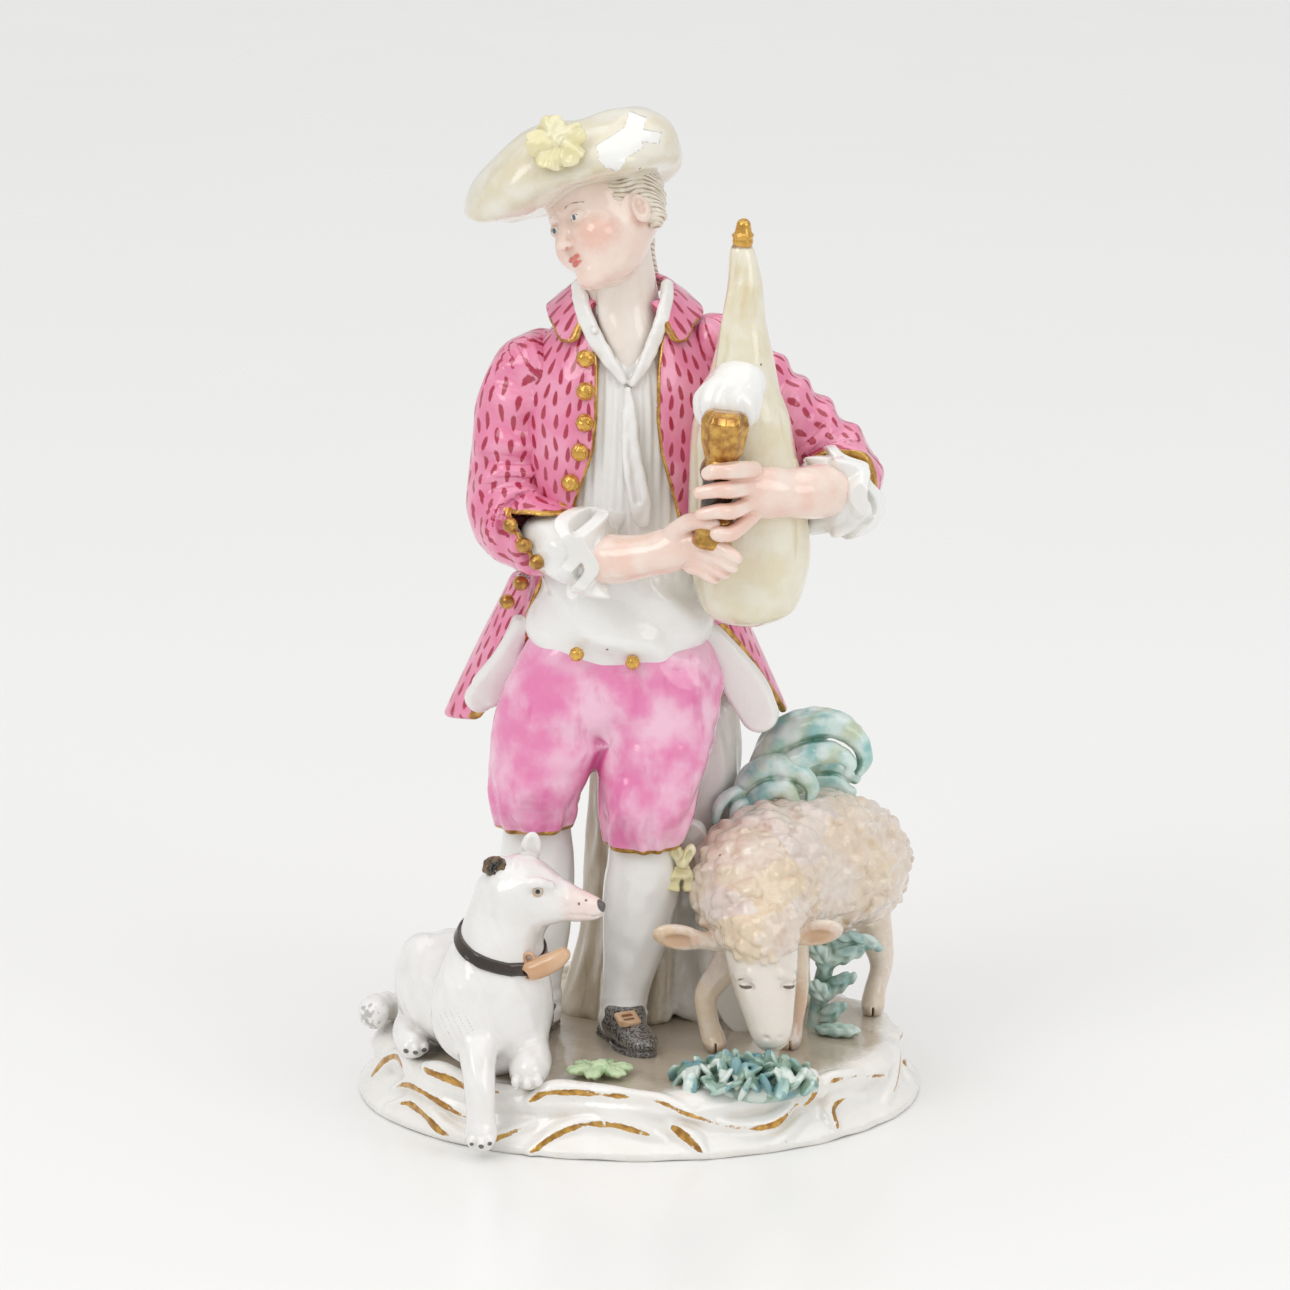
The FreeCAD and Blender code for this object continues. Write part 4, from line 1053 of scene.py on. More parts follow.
def shoe(node):
    axes = SHOES[node]

    def shape(P):
        q = (P - mid(node)) @ axes
        sole = both(egg(q, (0, -1.6, -2.3), (3.0, 5.0, 3.2)), np.abs(q[:, 2] + 2.3) - 0.55, 0.2)
        heel = slab(q, (0, 4.4, -1.9), (2.2, 2.1, 0.9), None, 0.6)
        toe = egg(q, (0, -3.1, -1.1), (2.75, 3.6, 1.9))
        back = egg(q, (0, 3.0, -0.4), (2.6, 3.2, 2.7))
        instep = egg(q, (0, 0, -0.1), (2.7, 4.2, 2.6), turn(pitch=12))
        d = join(join(toe, back, 1.2), instep, 1.2)
        ankle = egg(q, (0.4 * math.copysign(1, axes[1, 0]), 2.3, 1.2), (3.3, 3.7, 3.4))
        d = join(join(join(d, sole, 0.2), heel, 0.2), ankle, 0.8)
        tongue = slab(q, (0, -0.6, 2.2), (1.7, 0.45, 1.5), turn(pitch=-38), 0.35)
        d = join(d, tongue, 0.4)
        welt = np.abs(q[:, 2] + 1.75) - 0.12
        d = d + 0.15 * np.clip(1 - np.abs(welt) / 0.3, 0, 1)
        d = both(d, -q[:, 2] - 2.75, 0.15)
        return both(d, q[:, 2] - 3.3 - 0.12 * q[:, 1], 0.4)
    return shape


BUCKLES = [(7.1, -3.4, -0.7, 28), (-7.1, 1.2, -0.7, -18)]      # x, y, z and yaw, the left shoe's first


def shoe_buckles(P):
    d = FAR
    for x, y, z, yaw in BUCKLES:
        q = (P - mid("shoe_buckles", x, y, z)) @ turn(yaw=yaw, pitch=28)
        plate = slab(q, (0, 0, 0), (1.75, 1.35, 0.45), None, 0.35)
        window = slab(q, (0, 0, 0.4), (0.85, 0.6, 0.5), None, 0.2)
        pin = limb(q, (-1.2, 0, 0.15), (1.2, 0, 0.15), 0.22, 0.22)
        d = np.minimum(d, join(carve(plate, window, 0.15), pin, 0.1))
    return d


# ---------------------------------------------------------------- dog

def dog_head(P):
    at = "dog_head"
    d = egg(P, mid(at, -3.2, 0.0, -0.4), (5.6, 5.9, 5.4))
    muzzle = tube(P, route(at, (-1.6, -0.6, -0.8, 4.2), (2.4, -2.0, -1.1, 3.0), (6.0, -3.6, -1.5, 2.0),
                           (7.9, -4.5, -1.6, 1.35)), 5, 0.5)
    d = join(d, muzzle, 2.2)
    cheek = egg(P, mid(at, 0.4, -3.6, -1.6), (2.8, 2.2, 2.4))
    d = join(d, cheek, 1.2)
    brow = tube(P, route(at, (-2.6, -4.8, 2.2, 0.6), (-0.4, -5.2, 2.5, 0.8), (1.4, -4.4, 1.9, 0.5)))
    d = join(d, brow, 0.9)
    socket = egg(P, mid(at, -0.3, -5.7, 1.2), (0.9, 0.6, 0.6))
    eyeball = egg(P, mid(at, -0.3, -4.8, 1.2), (0.65, 0.65, 0.5))
    d = join(carve(d, socket, 0.5), eyeball, 0.1)
    mouth = tube(P, route(at, (3.0, -5.2, -2.6, 0.16), (5.4, -5.6, -2.3, 0.2), (7.6, -6.0, -2.4, 0.2),
                          (8.9, -5.3, -2.4, 0.15)))
    nose = egg(P, mid(at, 8.7, -4.8, -1.0), (0.75, 0.85, 0.65))
    return join(carve(d, mouth, 0.35), nose, 0.3)


DOG_TOES = {"dog_foreleg": [(-0.5, -4.6, -6.9), (0.8, -5.1, -7.1), (2.0, -4.5, -6.9)],
            "dog_tucked_foreleg": [(-1.2, -3.9, -0.9), (0.3, -4.4, -1.0), (1.7, -3.9, -0.8)],
            "dog_hindleg": [(-0.6, -8.0, -6.3), (0.7, -8.5, -6.4), (1.9, -7.9, -6.2)]}


def dog(P):
    at = "dog_body"
    chest = egg(P, mid(at, 2.9, -8.2, -4.2), (8.2, 7.6, 10.4))
    rump = egg(P, mid(at, -3.6, 4.6, -5.6), (8.0, 11.2, 8.4))
    d = join(chest, rump, 5)
    throat = tube(P, route(at, (2.4, -8.2, 0.5, 7.0), (3.6, -8.8, 6.4, 5.6), (5.0, -9.0, 12.0, 4.9)), 5, 1)
    d = join(d, throat, 3)
    d = join(d, dog_head(P), 2.2)
    haunch = egg(P, mid(at, -8.4, 5.6, -5.2), (4.2, 7.0, 7.6), turn(yaw=10))
    d = join(d, haunch, 1.4)
    hind = tube(P, route("dog_hindleg", (2.2, 3.6, -3.8, 2.6), (-0.6, -1.0, -5.2, 2.0),
                         (-0.4, -5.0, -5.9, 1.9), (0.4, -7.2, -6.2, 2.0)), 5, 0.6)
    d = join(d, hind, 1.0)
    shoulder = egg(P, mid(at, -1.2, -11.2, -3.8), (5.4, 5.4, 7.4), turn(roll=8))
    d = join(d, shoulder, 2.4)
    front = tube(P, route("dog_foreleg", (0.2, 4.6, 6.0, 3.1), (0.3, 0.6, 3.2, 2.3), (0.6, -2.0, -0.8, 1.9),
                          (0.7, -2.8, -5.0, 1.8), (0.7, -3.4, -7.0, 2.0)), 5, 0.8)
    d = join(d, front, 1.4)
    tucked = route("dog_tucked_foreleg", (-1.0, 3.4, 3.2, 3.4), (0.6, 0.4, 0.8, 2.8), (0.4, -2.2, -0.2, 2.4))
    d = join(d, tube(P, tucked, 5, 0.8), 1.2)
    for leg, toes in DOG_TOES.items():
        for toe in toes:
            d = join(d, egg(P, mid(leg, *toe), (0.85, 1.2, 0.95)), 0.25)
    _, back, up = (P - mid(at)).T
    side_ribs = np.sin(1.1 * back + 0.12 * P[:, 2]) * ramp(back + 2, 4) * ramp(up + 6, 6)
    coat_hair = np.sin(1.9 * P[:, 0] + 0.8 * P[:, 2] + 2.2 * swell(P, 7, 1))
    d = d - 0.12 * side_ribs + 0.05 * coat_hair
    ear = egg(P, mid("dog_ear_up", 0, 0, -0.2), (1.5, 0.8, 2.5), turn(roll=8))
    ear = carve(ear, egg(P, mid("dog_ear_up", 0.1, -0.8, 0.3), (0.8, 0.5, 1.6)), 0.3)
    return join(d, ear, 0.5)


# whiskers and claws: x, y, z and radius of each painted dot
DOG_SPOTS = {"dog_head": [(x, -5.4, z, 0.24) for x, z in ((5.6, -0.6), (6.4, -1.2), (7.2, -0.6), (6.6, 0.0))],
             "dog_hindleg": [(-0.7, -9.2, -6.6, 0.45), (0.7, -9.7, -6.7, 0.45), (2.0, -9.0, -6.5, 0.45)],
             "dog_foreleg": [(-0.6, -5.9, -7.3, 0.45), (0.8, -6.3, -7.4, 0.45), (2.1, -5.8, -7.2, 0.45)]}


def dog_marks(V, N):
    at = "dog_head"
    eye = length((V - mid(at, -0.3, -5.3, 1.2)) * (1, 0.5, 1))
    nose = length(V - mid(at, 8.9, -5.0, -0.9)) - 1.0
    mouth = line_distance(V, route(at, (4.0, -5.2, -2.5), (6.6, -5.9, -2.3), (8.8, -5.6, -2.4))) - 0.14
    ink = np.minimum(mouth, nose)
    for node, spots in DOG_SPOTS.items():
        for *place, radius in route(node, *spots):
            ink = np.minimum(ink, length(V - place) - radius)
    blush = length((V - mid(at, 6.4, -3.8, -1.2)) / (3.4, 3, 2.6)) - 1
    q = V - mid("dog_body", -2.6, -14.6, -4.6)
    hairs = np.maximum(np.abs(np.sin(3.2 * q[:, 0] + 1.6 * q[:, 2])) - 0.16, length(q / (3.2, 4, 2.6)) - 1)
    return {"line": ink, "rim": np.abs(eye - 0.66) - 0.15, "pupil": eye - 0.4, "blush": blush, "grey": hairs}


def dog_ear_folded(P):
    at = "dog_ear_folded"
    d = egg(P, mid(at), (1.8, 1.1, 1.6), turn(roll=20))
    inside = egg(P, mid(at, 0.2, -1.1, 0.1), (1.0, 0.6, 0.8), turn(roll=20))
    return carve(d, inside, 0.25) + 0.15 * swell(P, 1.2)


def dog_tail(P):
    at = "dog_tail"
    curl = route(at, (2.6, 3.4, -0.6, 1.6), (-0.6, 2.2, 0.0, 2.0), (-2.2, -0.6, 0.2, 2.1),
                 (-1.8, -2.6, 0.2, 1.9))
    return tube(P, curl, 5, 0.5) + 0.1 * swell(P, 2.2, 2)


def tail_marks(V, N):
    worn = length(V - mid("dog_tail", -2.4, -2.8, 0.2)) - 1.7 + 0.5 * swell(V, 1.1)
    return {**dog_marks(V, N), "grey": worn}


def dog_strap(P):
    """A strap pressed against the dog's neck."""
    axis = np.array((0.24, -0.30, 1.0))
    up = (P - mid("dog_collar", 0, 0, -0.3)) @ (axis / length(axis))
    return both(dog(P) - 0.38, np.abs(up) - 0.8, 0.25)


def dog_bell(P):
    at = "dog_bell"
    barrel = route(at, (-2.2, 0.1, -1.0, 1.4), (-0.6, 0, -0.4, 1.45), (1.4, 0, 0.6, 1.3), (2.6, 0, 1.5, 0.95))
    d = carve(tube(P, barrel, 5, 0.3), egg(P, mid(at, -3.1, -0.6, -1.6), (0.8, 0.8, 0.8)), 0.2)
    return join(d, hoop(P, mid(at, -2.4, 0.3, 0.8), (0.3, 1, 0), 0.7, 0.3), 0.2)


# ---------------------------------------------------------------- sheep

TRUNK = route("sheep_body", (-5.2, -15.0, -1.8, 4.8), (-5.6, -10.4, -0.2, 7.0), (-5.0, -4.6, 0.8, 8.8),
              (-1.6, 1.2, 1.0, 9.2), (3.2, 6.2, 0.6, 9.4), (7.6, 10.8, -0.8, 8.8), (10.4, 13.6, -1.4, 6.0))


def fleece(P):
    """The sheep's trunk with its locks: rounded knots in rows, each with a small twist."""
    d = tube(P, TRUNK, 5, 2)
    warped = P + 0.5 * np.stack([swell(P, 5, 1), swell(P, 5, 2), swell(P, 5, 3)], 1)
    near = pebbles(warped * (0.9, 0.9, 1.3), 3.0)[0]
    return d - ridge(near, 1.45) + 0.06 * np.sin(3.4 * near + 2 * swell(P, 6, 4))


SHEEP_LEGS = {
    "sheep_foreleg_right": [(4.2, 2.4, 9.0, 2.6), (1.4, 0.8, 3.4, 2.1), (-1.6, 0.2, -1.0, 1.5),
                            (-1.2, -1.0, -5.2, 1.25), (-0.2, -2.0, -8.0, 1.5)],
    "sheep_foreleg_left": [(-0.6, 2.0, 9.0, 2.6), (0.2, 0.6, 3.0, 2.0), (0.6, 0.0, -1.6, 1.4),
                           (0.0, -1.0, -5.6, 1.25), (-0.4, -2.0, -8.0, 1.5)],
    "sheep_hindleg_left": [(-0.8, 1.0, 8.4, 3.0), (0.6, 1.2, 2.8, 2.2), (1.4, 1.2, -1.4, 1.4),
                           (0.4, -0.2, -5.0, 1.3), (0.0, -1.8, -7.4, 1.5)],
    "sheep_hindleg_right": [(0.6, 0.6, 8.4, 3.0), (-0.2, 0.6, 2.8, 2.1), (-0.4, 0.8, -1.6, 1.4),
                            (-0.2, -0.4, -5.0, 1.3), (-0.2, -1.8, -7.4, 1.5)]}


def sheep_legs(P):
    """Four legs, each ending in a cloven hoof."""
    d = FAR
    for node, stations in SHEEP_LEGS.items():
        leg = route(node, *stations)
        hoof = np.array(leg[-1][:3]) + (0, -0.5, 0.2)
        cleft = slab(P, hoof + (0, -1.2, -0.4), (0.12, 1.0, 1.0), None, 0.1)
        shod = join(tube(P, leg, 5, 0.8), egg(P, hoof, (1.45, 1.8, 1.1)), 0.5)
        d = join(d, carve(shod, cleft, 0.2), 0.3)
    return d


def face_side(P):
    """Places about the sheep's head, folded onto one side of its slanting nose."""
    q = P - mid("sheep_head")
    nose_line = 0.9 - 0.12 * q[:, 2]
    return mirrored(q - nose_line[:, None] * (1, 0, 0))


def sheep_face(P):
    at = "sheep_head"
    d = tube(P, route(at, (0.0, 2.4, 7.0, 4.9), (0.2, 0.8, 3.0, 4.9), (0.8, -0.8, -2.4, 3.9),
                      (1.4, -2.0, -6.4, 2.9), (1.6, -2.8, -8.4, 2.3)), 5, 1)
    side = face_side(P)
    brow = limb(side, (2.2, -4.2, 1.4), (3.8, -2.6, 0.4), 0.7, 0.5)
    socket = egg(side, (3.1, -4.4, -0.6), (1.2, 0.8, 0.55))
    lid = egg(side, (3.0, -3.4, -0.7), (1.0, 0.8, 0.5))
    nostril = egg(side, (1.1, -5.7, -8.0), (0.5, 0.6, 0.3))
    mouth = tube(side, [(0, -4.7, -9.9, 0.14), (1.2, -4.4, -9.7, 0.16), (2.2, -3.2, -9.0, 0.12)])
    d = carve(join(d, brow, 0.9), socket, 0.5)
    d = carve(join(d, lid, 0.1), nostril, 0.3)
    return carve(d, mouth, 0.3)


def wool_cap(P):
    at = "sheep_head"
    d = join(egg(P, mid(at, 0.0, 0.6, 7.6), (5.8, 5.4, 4.2)),
             egg(P, mid(at, 0.2, -1.6, 5.2), (4.4, 3.6, 3.2)), 2)
    near = pebbles(P, 2.1, 4)[0]
    return d - 0.75 * ridge(near, 1.0)


def sheep(P):
    d = join(fleece(P), sheep_face(P), 0.5)
    d = join(d, wool_cap(P), 0.5)
    d = join(d, sheep_legs(P), 1.0)
    for side, place in ((-1, (-10.3, 0, -0.2)), (1, (9.8, 0, 0.5))):
        q = (P - mid("sheep_ears", *place)) @ turn(roll=side * -10, pitch=10)
        ear = egg(q, (0, 0, 0), (3.9, 1.15, 2.0))
        ear = carve(ear, egg(q, (-side * 0.4, -1.3, -0.2), (2.9, 0.9, 1.2)), 0.35)
        stem = limb(q, (-side * 2.6, 0, 0), (-side * 7.0, 0.6, 0.2), 1.2, 1.6)
        d = join(d, join(ear, stem, 0.6), 0.5)
    return d


def sheep_marks(V, N):
    side = face_side(V)
    slit = egg(side * (1, 0.4, 1), (3.2, -1.6, -0.75), (1.0, 1, 0.28)) + only_where(side[:, 1] < -1)
    brow = line_distance(side, [(2.2, -5.0, 0.2), (3.2, -4.4, 0.6), (4.2, -3.2, 0.1)]) - 0.12
    face = sheep_face(V)
    ears = np.minimum(length((V - mid("sheep_ears", -10.6, -1, -0.4)) / (3.0, 3, 1.5)),
                      length((V - mid("sheep_ears", 10.0, -1, 0.3)) / (3.0, 3, 1.5))) - 1
    knee = length((V - mid("sheep_foreleg_left", 0.4, -1.6, -2.6)) / (1.8, 2.5, 4.6)) - 1
    hooves = V[:, 2] - mid("base_plinth")[2] - half("base_plinth")[2] - 1.4
    tag = pebbles(V, 6.5, 2)[1]
    return {"line": np.minimum(slit, brow), "tan": np.minimum(ears, knee), "face": face - 0.25,
            "lock": tag - 0.45, "mauve": 0.7 - tag, "hoof": hooves}


# ---------------------------------------------------------------- stump and leaves

STUMP = route("tree_stump", (0, 0.2, -25.2, 15.4, 9.6), (0.2, -0.4, -19.6, 13.2, 8.0),
              (0.6, -0.9, -8.0, 11.6, 6.6), (1.0, -1.3, 6.0, 11.4, 6.0), (2.0, -1.5, 16.0, 11.2, 5.6),
              (2.6, -1.7, 24.6, 9.0, 4.9))


def stump(P):
    u = around(P, STUMP)
    z = P[:, 2] - mid("tree_stump")[2]
    bark = 0.35 * np.sin(8 * u + 0.10 * z + 1.4 * swell(P, 20, 1)) + 0.16 * np.sin(21 * u + swell(P, 9, 2))
    flute = 1.1 * ridge(u - 0.62 - 0.01 * z, 0.34) + 0.9 * ridge(u - 1.35, 0.3)
    d = drum(P, STUMP, 2.4) + bark * 0.8 + flute
    knot = egg(P, mid("tree_stump", 4.6, -9.4, 3.4), (3.4, 3.2, 4.6))
    d = join(d, knot, 2.4)
    d = carve(d, egg(P, mid("tree_stump", 5.0, -13.0, 3.6), (1.7, 1.7, 2.8)), 0.9)
    roots = [route("tree_stump", (7.2, -6.4, -10, 2.2), (9.6, -9.0, -17.6, 2.4), (12.4, -9.6, -23.4, 2.0)),
             route("tree_stump", (-4.6, -6.6, -8, 2.0), (-5.8, -9.2, -16, 2.2), (-6.6, -10.6, -23.6, 2.2))]
    d = join(d, join(*[tube(P, root, 5, 0.6) for root in roots], 0.5), 2.6)
    return d + 0.12 * swell(P, 4, 3)


def stump_marks(V, N):
    u = around(V, STUMP)
    z = V[:, 2] - mid("tree_stump")[2]
    pale = 0.55 - 1.3 * ridge(u - 0.9, 0.75) + 0.12 * swell(V, 9)
    grain = np.abs(np.sin(11 * u + 0.1 * z + swell(V, 16, 2))) - 0.16
    return {"pale": pale, "grain": grain}


LEAF_RIBS = {
    "acanthus_main": [
        [(-6.7, 0.8, -7.0, 1.4), (-3.8, 0.4, -1.4, 2.0), (1.0, 0, 2.0, 2.2), (5.6, -0.4, 2.7, 2.0),
         (9.0, -0.8, 0.7, 1.6), (10.2, -1.2, -2.2, 1.2), (9.4, -1.4, -4.2, 0.7)],
        [(-5.6, -0.6, -7.2, 1.3), (-2.0, -1.3, -3.8, 1.9), (1.8, -1.9, -1.4, 1.9), (5.4, -2.2, -0.9, 1.6),
         (7.9, -2.4, -2.4, 1.1), (7.7, -2.4, -4.0, 0.7)],
        [(-6.2, 2.2, -6.4, 1.3), (-3.4, 2.0, 0.2, 1.7), (1.4, 1.6, 3.0, 1.8), (6.0, 1.2, 3.2, 1.4),
         (9.0, 0.6, 1.6, 0.9)]],
    "acanthus_middle": [
        [(-6.0, 0.6, -3.8, 1.2), (-4.0, 0, 0.2, 1.8), (-0.4, -0.5, 2.2, 2.0), (3.2, -0.9, 1.4, 1.6),
         (5.2, -1.2, -0.8, 1.1), (4.8, -1.2, -2.6, 0.7)],
        [(-4.4, -0.8, -4.0, 1.1), (-1.8, -1.5, -1.4, 1.6), (1.2, -2.0, -0.8, 1.4), (2.8, -2.2, -2.6, 0.8)]],
    "acanthus_front": [
        [(2.4, 1.2, 2.2, 0.9), (-0.4, 0.2, 1.9, 1.0), (-2.4, -0.8, 0.3, 0.9), (-2.9, -1.2, -2.0, 0.6)],
        [(2.8, 0.4, 0.7, 0.9), (0.4, -0.6, 0.3, 1.0), (-0.2, -1.4, -1.5, 0.8), (0.2, -1.6, -3.0, 0.5)],
        [(3.2, -0.2, -0.7, 0.8), (2.4, -1.2, -1.1, 0.9), (2.2, -1.6, -2.8, 0.6)]],
    "acanthus_back": [
        [(-6.6, -0.8, -2.8, 1.2), (-2.4, 0.4, 1.4, 1.6), (3.4, 0.6, 2.6, 1.6), (7.2, 0.2, 1.0, 1.0)],
        [(-5.4, -1.4, -3.4, 1.0), (-1.4, -1.2, -0.8, 1.3), (3.6, -1.0, 0.5, 1.3), (6.6, -1.0, -1.0, 0.9)],
        [(-5.8, 0.6, -3.2, 1.0), (-2.0, 1.8, 0.4, 1.3), (3.0, 2.0, 1.6, 1.3)]],
}


def fluted_leaf(node):
    """A leaf of thick ribs lying side by side, each a smooth tapered line."""
    def shape(P):
        d = FAR
        for stations in LEAF_RIBS[node]:
            d = join(d, tube(P, route(node, *stations), 6), 0.3)
        return d + 0.07 * swell(P, 2.5)
    return shape


def leaf_marks(V, N):
    # olive: olive patches at random, laid more thickly on downward-facing sides, where they are painted shade
    return {"vein": swell(V, 4.5, 1) + 0.35, "olive_and_underside_shade": swell(V, 7, 3) + 0.25 * N[:, 2] + 0.35}


PLANT_LEAVES = [(1.0, -0.2, 6.0, 6, 4.6), (-0.4, -0.6, 3.8, -30, 3.2), (-3.9, -0.8, 4.0, 62, 3.0),
                (-1.2, -0.8, -0.6, -48, 3.2), (-3.9, -1.4, -1.6, 58, 2.8),
                (-2.2, -1.2, -5.0, -56, 2.8)]      # x, y, z, lean and half length


def plant(P):
    """Ragged leaves on a leaning stalk; the topmost one reaches out towards the sheep's tail."""
    at = "plant_stalk"
    d = tube(P, route(at, (-4.2, 1.0, -8.0, 1.7), (-3.8, 0.8, -2.6, 1.4), (-2.8, 0.4, 2.4, 1.2),
                      (-1.4, 0.2, 5.4, 1)))
    for x, y, z, lean, size in PLANT_LEAVES:
        q = (P - mid(at, x, y, z)) @ turn(roll=lean, pitch=24)
        curled = q + 0.06 * q[:, :1] ** 2 * (0, 0, 1)
        ragged = 0.14 * np.cos(2.6 * q[:, 0] + 3.2 * np.abs(q[:, 2]))
        leaf = egg(curled, (0, 0, 0), (size, 0.95, 1.5)) + ragged + 0.2 * ridge(q[:, 2], 0.25)
        d = join(d, leaf, 0.45)
    return d


def fallen_leaf(P):
    q = (P - mid("fallen_leaf")) @ turn(yaw=-10)
    veins = 0.12 * np.cos(5 * q[:, 1]) + 0.1 * np.sin(3 * q[:, 0] - 3 * np.abs(q[:, 1]))
    return egg(q, (0, 0, -0.1), (3.4, 1.8, 0.8)) - veins


SHRUB_LEAVES = 64
GOLDEN = 0.618034      # the part of a turn from one leaf to the next


def shrub(P):
    """Clusters of small cupped leaves spreading over the rim."""
    at = "shrub"
    d = egg(P, mid(at, 0, 1.2, -1.6), (10.2, 4.0, 2.6))
    number = np.arange(SHRUB_LEAVES)
    luck = scatter(np.stack([number, 3 * number, 0 * number], 1), 5)
    for index, (a, b, c) in enumerate(luck):
        angle = 2 * math.pi * GOLDEN * index
        reach = math.sqrt((index + 0.5) / SHRUB_LEAVES)
        x, y = 10.4 * reach * math.cos(angle), 4.6 * reach * math.sin(angle)
        z = 2.2 * (1 - reach ** 2) - 0.8 * reach * (y < 0)
        q = (P - mid(at, x, y, z)) @ turn(yaw=360 * a, pitch=20 + 50 * b)
        leaf = egg(q, (0, 0, 0.3 * c), (0.85 + 0.3 * c, 1.7 + 0.6 * b, 0.5))
        d = join(d, leaf + 0.15 * ridge(q[:, 0], 0.25) * np.clip(q[:, 2], 0, 1), 0.25)
    return d


def shrub_marks(V, N):
    nearest, tag = pebbles(V, 2.6, 8)
    return {"white": np.where(tag > 0.62, nearest - 1.6, FAR),
            "teal": np.where(tag < 0.3, nearest - 1.7, FAR)}


def ground_flower(P):
    at = "ground_flower"
    d = egg(P, mid(at, 0, 0, 0.2), (1.5, 1.2, 1.1))
    for index in range(6):
        angle = math.radians(60 * index + 14)
        place = mid(at, 3.0 * math.cos(angle), 2.0 * math.sin(angle), -0.1)
        q = (P - place) @ turn(yaw=math.degrees(angle))
        petal = egg(q, (0, 0, 0), (2.2, 1.3, 0.75)) + 0.2 * ridge(q[:, 1], 0.3)
        d = join(d, petal, 0.3)
    return d + 0.06 * swell(P, 1.2)


# ---------------------------------------------------------------- base

PLINTH = mid("base_plinth")


def plinth_side(turned_by, z):
    """Half axes of the rocaille base at an angle (from the front, towards +X) and a height."""
    scoop = np.interp(z, [-4.5, -3.4, -1.6, 0.6, 2.4, 4.6], [0.0, 0.2, -2.0, -3.2, -2.6, -4.0])
    wave = 0.9 * np.sin(7 * turned_by + 0.6) + 0.5 * np.sin(11 * turned_by)
    out = scoop + 0.8 * wave * ramp(z + 3, 5)
    return 41.6 + out, 33.6 + out


def on_rim(angle, z, proud=0.0):
    """A place on the base's side wall."""
    a = math.radians(angle)
    wide, deep = plinth_side(a, z)
    return (PLINTH[0] + (wide + proud) * math.sin(a), PLINTH[1] - (deep + proud) * math.cos(a), PLINTH[2] + z)


# each scroll's stations: angle round the base from the front, height, radius
SCROLLS = [
    [(-82, -1.6, 0.8), (-77, 1.6, 1.1), (-70, 3.6, 1.2), (-63, 3.2, 1.0), (-59, 1.8, 0.6)],
    [(-55, 4.4, 0.7), (-50, 4.4, 1.3), (-44, 4.1, 1.2), (-36, 3.4, 1.0), (-27, 4.0, 0.6)],
    [(-68, -1.0, 0.6), (-60, 1.1, 1.1), (-52, 1.3, 1.1), (-43, -0.2, 1.0), (-35, -1.2, 0.7)],
    [(-64, -2.9, 0.6), (-58, -1.3, 1.0), (-51, -1.5, 1.2), (-44, -2.8, 1.1), (-37, -3.4, 0.7)],
    [(-30, -2.6, 0.9), (-24, -0.7, 0.6)],
    [(-24, 2.8, 0.7), (-20, 4.3, 1.2), (-12, 4.4, 1.1), (-3, 4.3, 0.8), (4, 4.0, 0.9), (9, 2.6, 0.9),
     (15, 0.6, 0.9), (22, -0.8, 0.9), (30, -0.8, 1.1), (36, 1.4, 0.9)],
    [(-22, -3.8, 0.8), (-18, -1.7, 1.1), (-12, 0.0, 1.0), (-5, 0.2, 1.0), (1, -0.6, 1.0), (5, -1.8, 0.6)],
    [(-8, 1.7, 0.5), (0, 1.0, 0.6), (8, -1.2, 0.5)],
    [(7, 0.2, 1.1), (11, -2.0, 1.3), (13, -3.5, 0.6)],
    [(27, -3.2, 0.5), (32, -2.6, 0.8), (38, -0.9, 0.6)],
    [(38, 0.9, 0.8), (40, 3.0, 1.5), (42, 4.5, 1.0)],
    [(43, 2.2, 0.7), (46, 3.6, 0.9), (54, 3.3, 0.8), (69, 0.9, 0.5)],
    [(44, -2.6, 1.0), (45, -0.6, 1.1), (50, 0.5, 0.9), (58, -0.4, 0.5)],
    [(64, -2.2, 0.6), (72, -0.6, 1.0), (80, 1.8, 1.1), (87, 2.4, 0.8)],
    [(84, -2.4, 0.7), (92, -0.6, 0.9)],
]
BACK_SCROLLS = [[(180 - a, z, r) for a, z, r in scroll] for scroll in SCROLLS]


def scroll_tubes(proud):
    return [[(*on_rim(a, z, proud), r) for a, z, r in scroll] for scroll in (*SCROLLS, *BACK_SCROLLS)]


def base(P):
    q = P - PLINTH
    angle = np.arctan2(q[:, 0] / 41.5, -q[:, 1] / 33.5)
    wide, deep = plinth_side(angle, q[:, 2])
    size = np.stack([wide, deep], 1)
    reach = length(q[:, :2] / size)
    rim_waves = 1.05 * np.clip(reach - 0.72, 0, 1) * np.sin(7 * angle + 0.6)
    swellings = 0.15 * swell(P, 22, 1) * np.clip(1.2 - reach, 0, 1)
    d = both(from_ellipse(q[:, :2], size), q[:, 2] - 4.4 - rim_waves + swellings, 1.6)
    for scroll in scroll_tubes(-0.4):
        d = join(d, tube(P, [(x, y, z, 1.18 * r) for x, y, z, r in scroll], 5), 0.7)
    d = both(d, -q[:, 2] - 4.5, 0.5)
    return d + 0.08 * swell(P, 9, 2)


def base_marks(V, N):
    gilt = np.full(len(V), FAR)
    for scroll in scroll_tubes(1.0):
        gilt = np.minimum(gilt, tube(V, [(x, y, z, 0.42 * r) for x, y, z, r in scroll], 5))
    q = V - PLINTH
    reach = length(q[:, :2] / (38.5, 30.5))
    ground = np.maximum((reach - 0.93) * 34, (3.0 - q[:, 2]) * 3) + 0.8 * swell(V, 9, 4)
    return {"gilt": gilt + 0.15 * swell(V, 5, 1), "ground": ground}


# ---------------------------------------------------------------- glaze, enamel and gilding


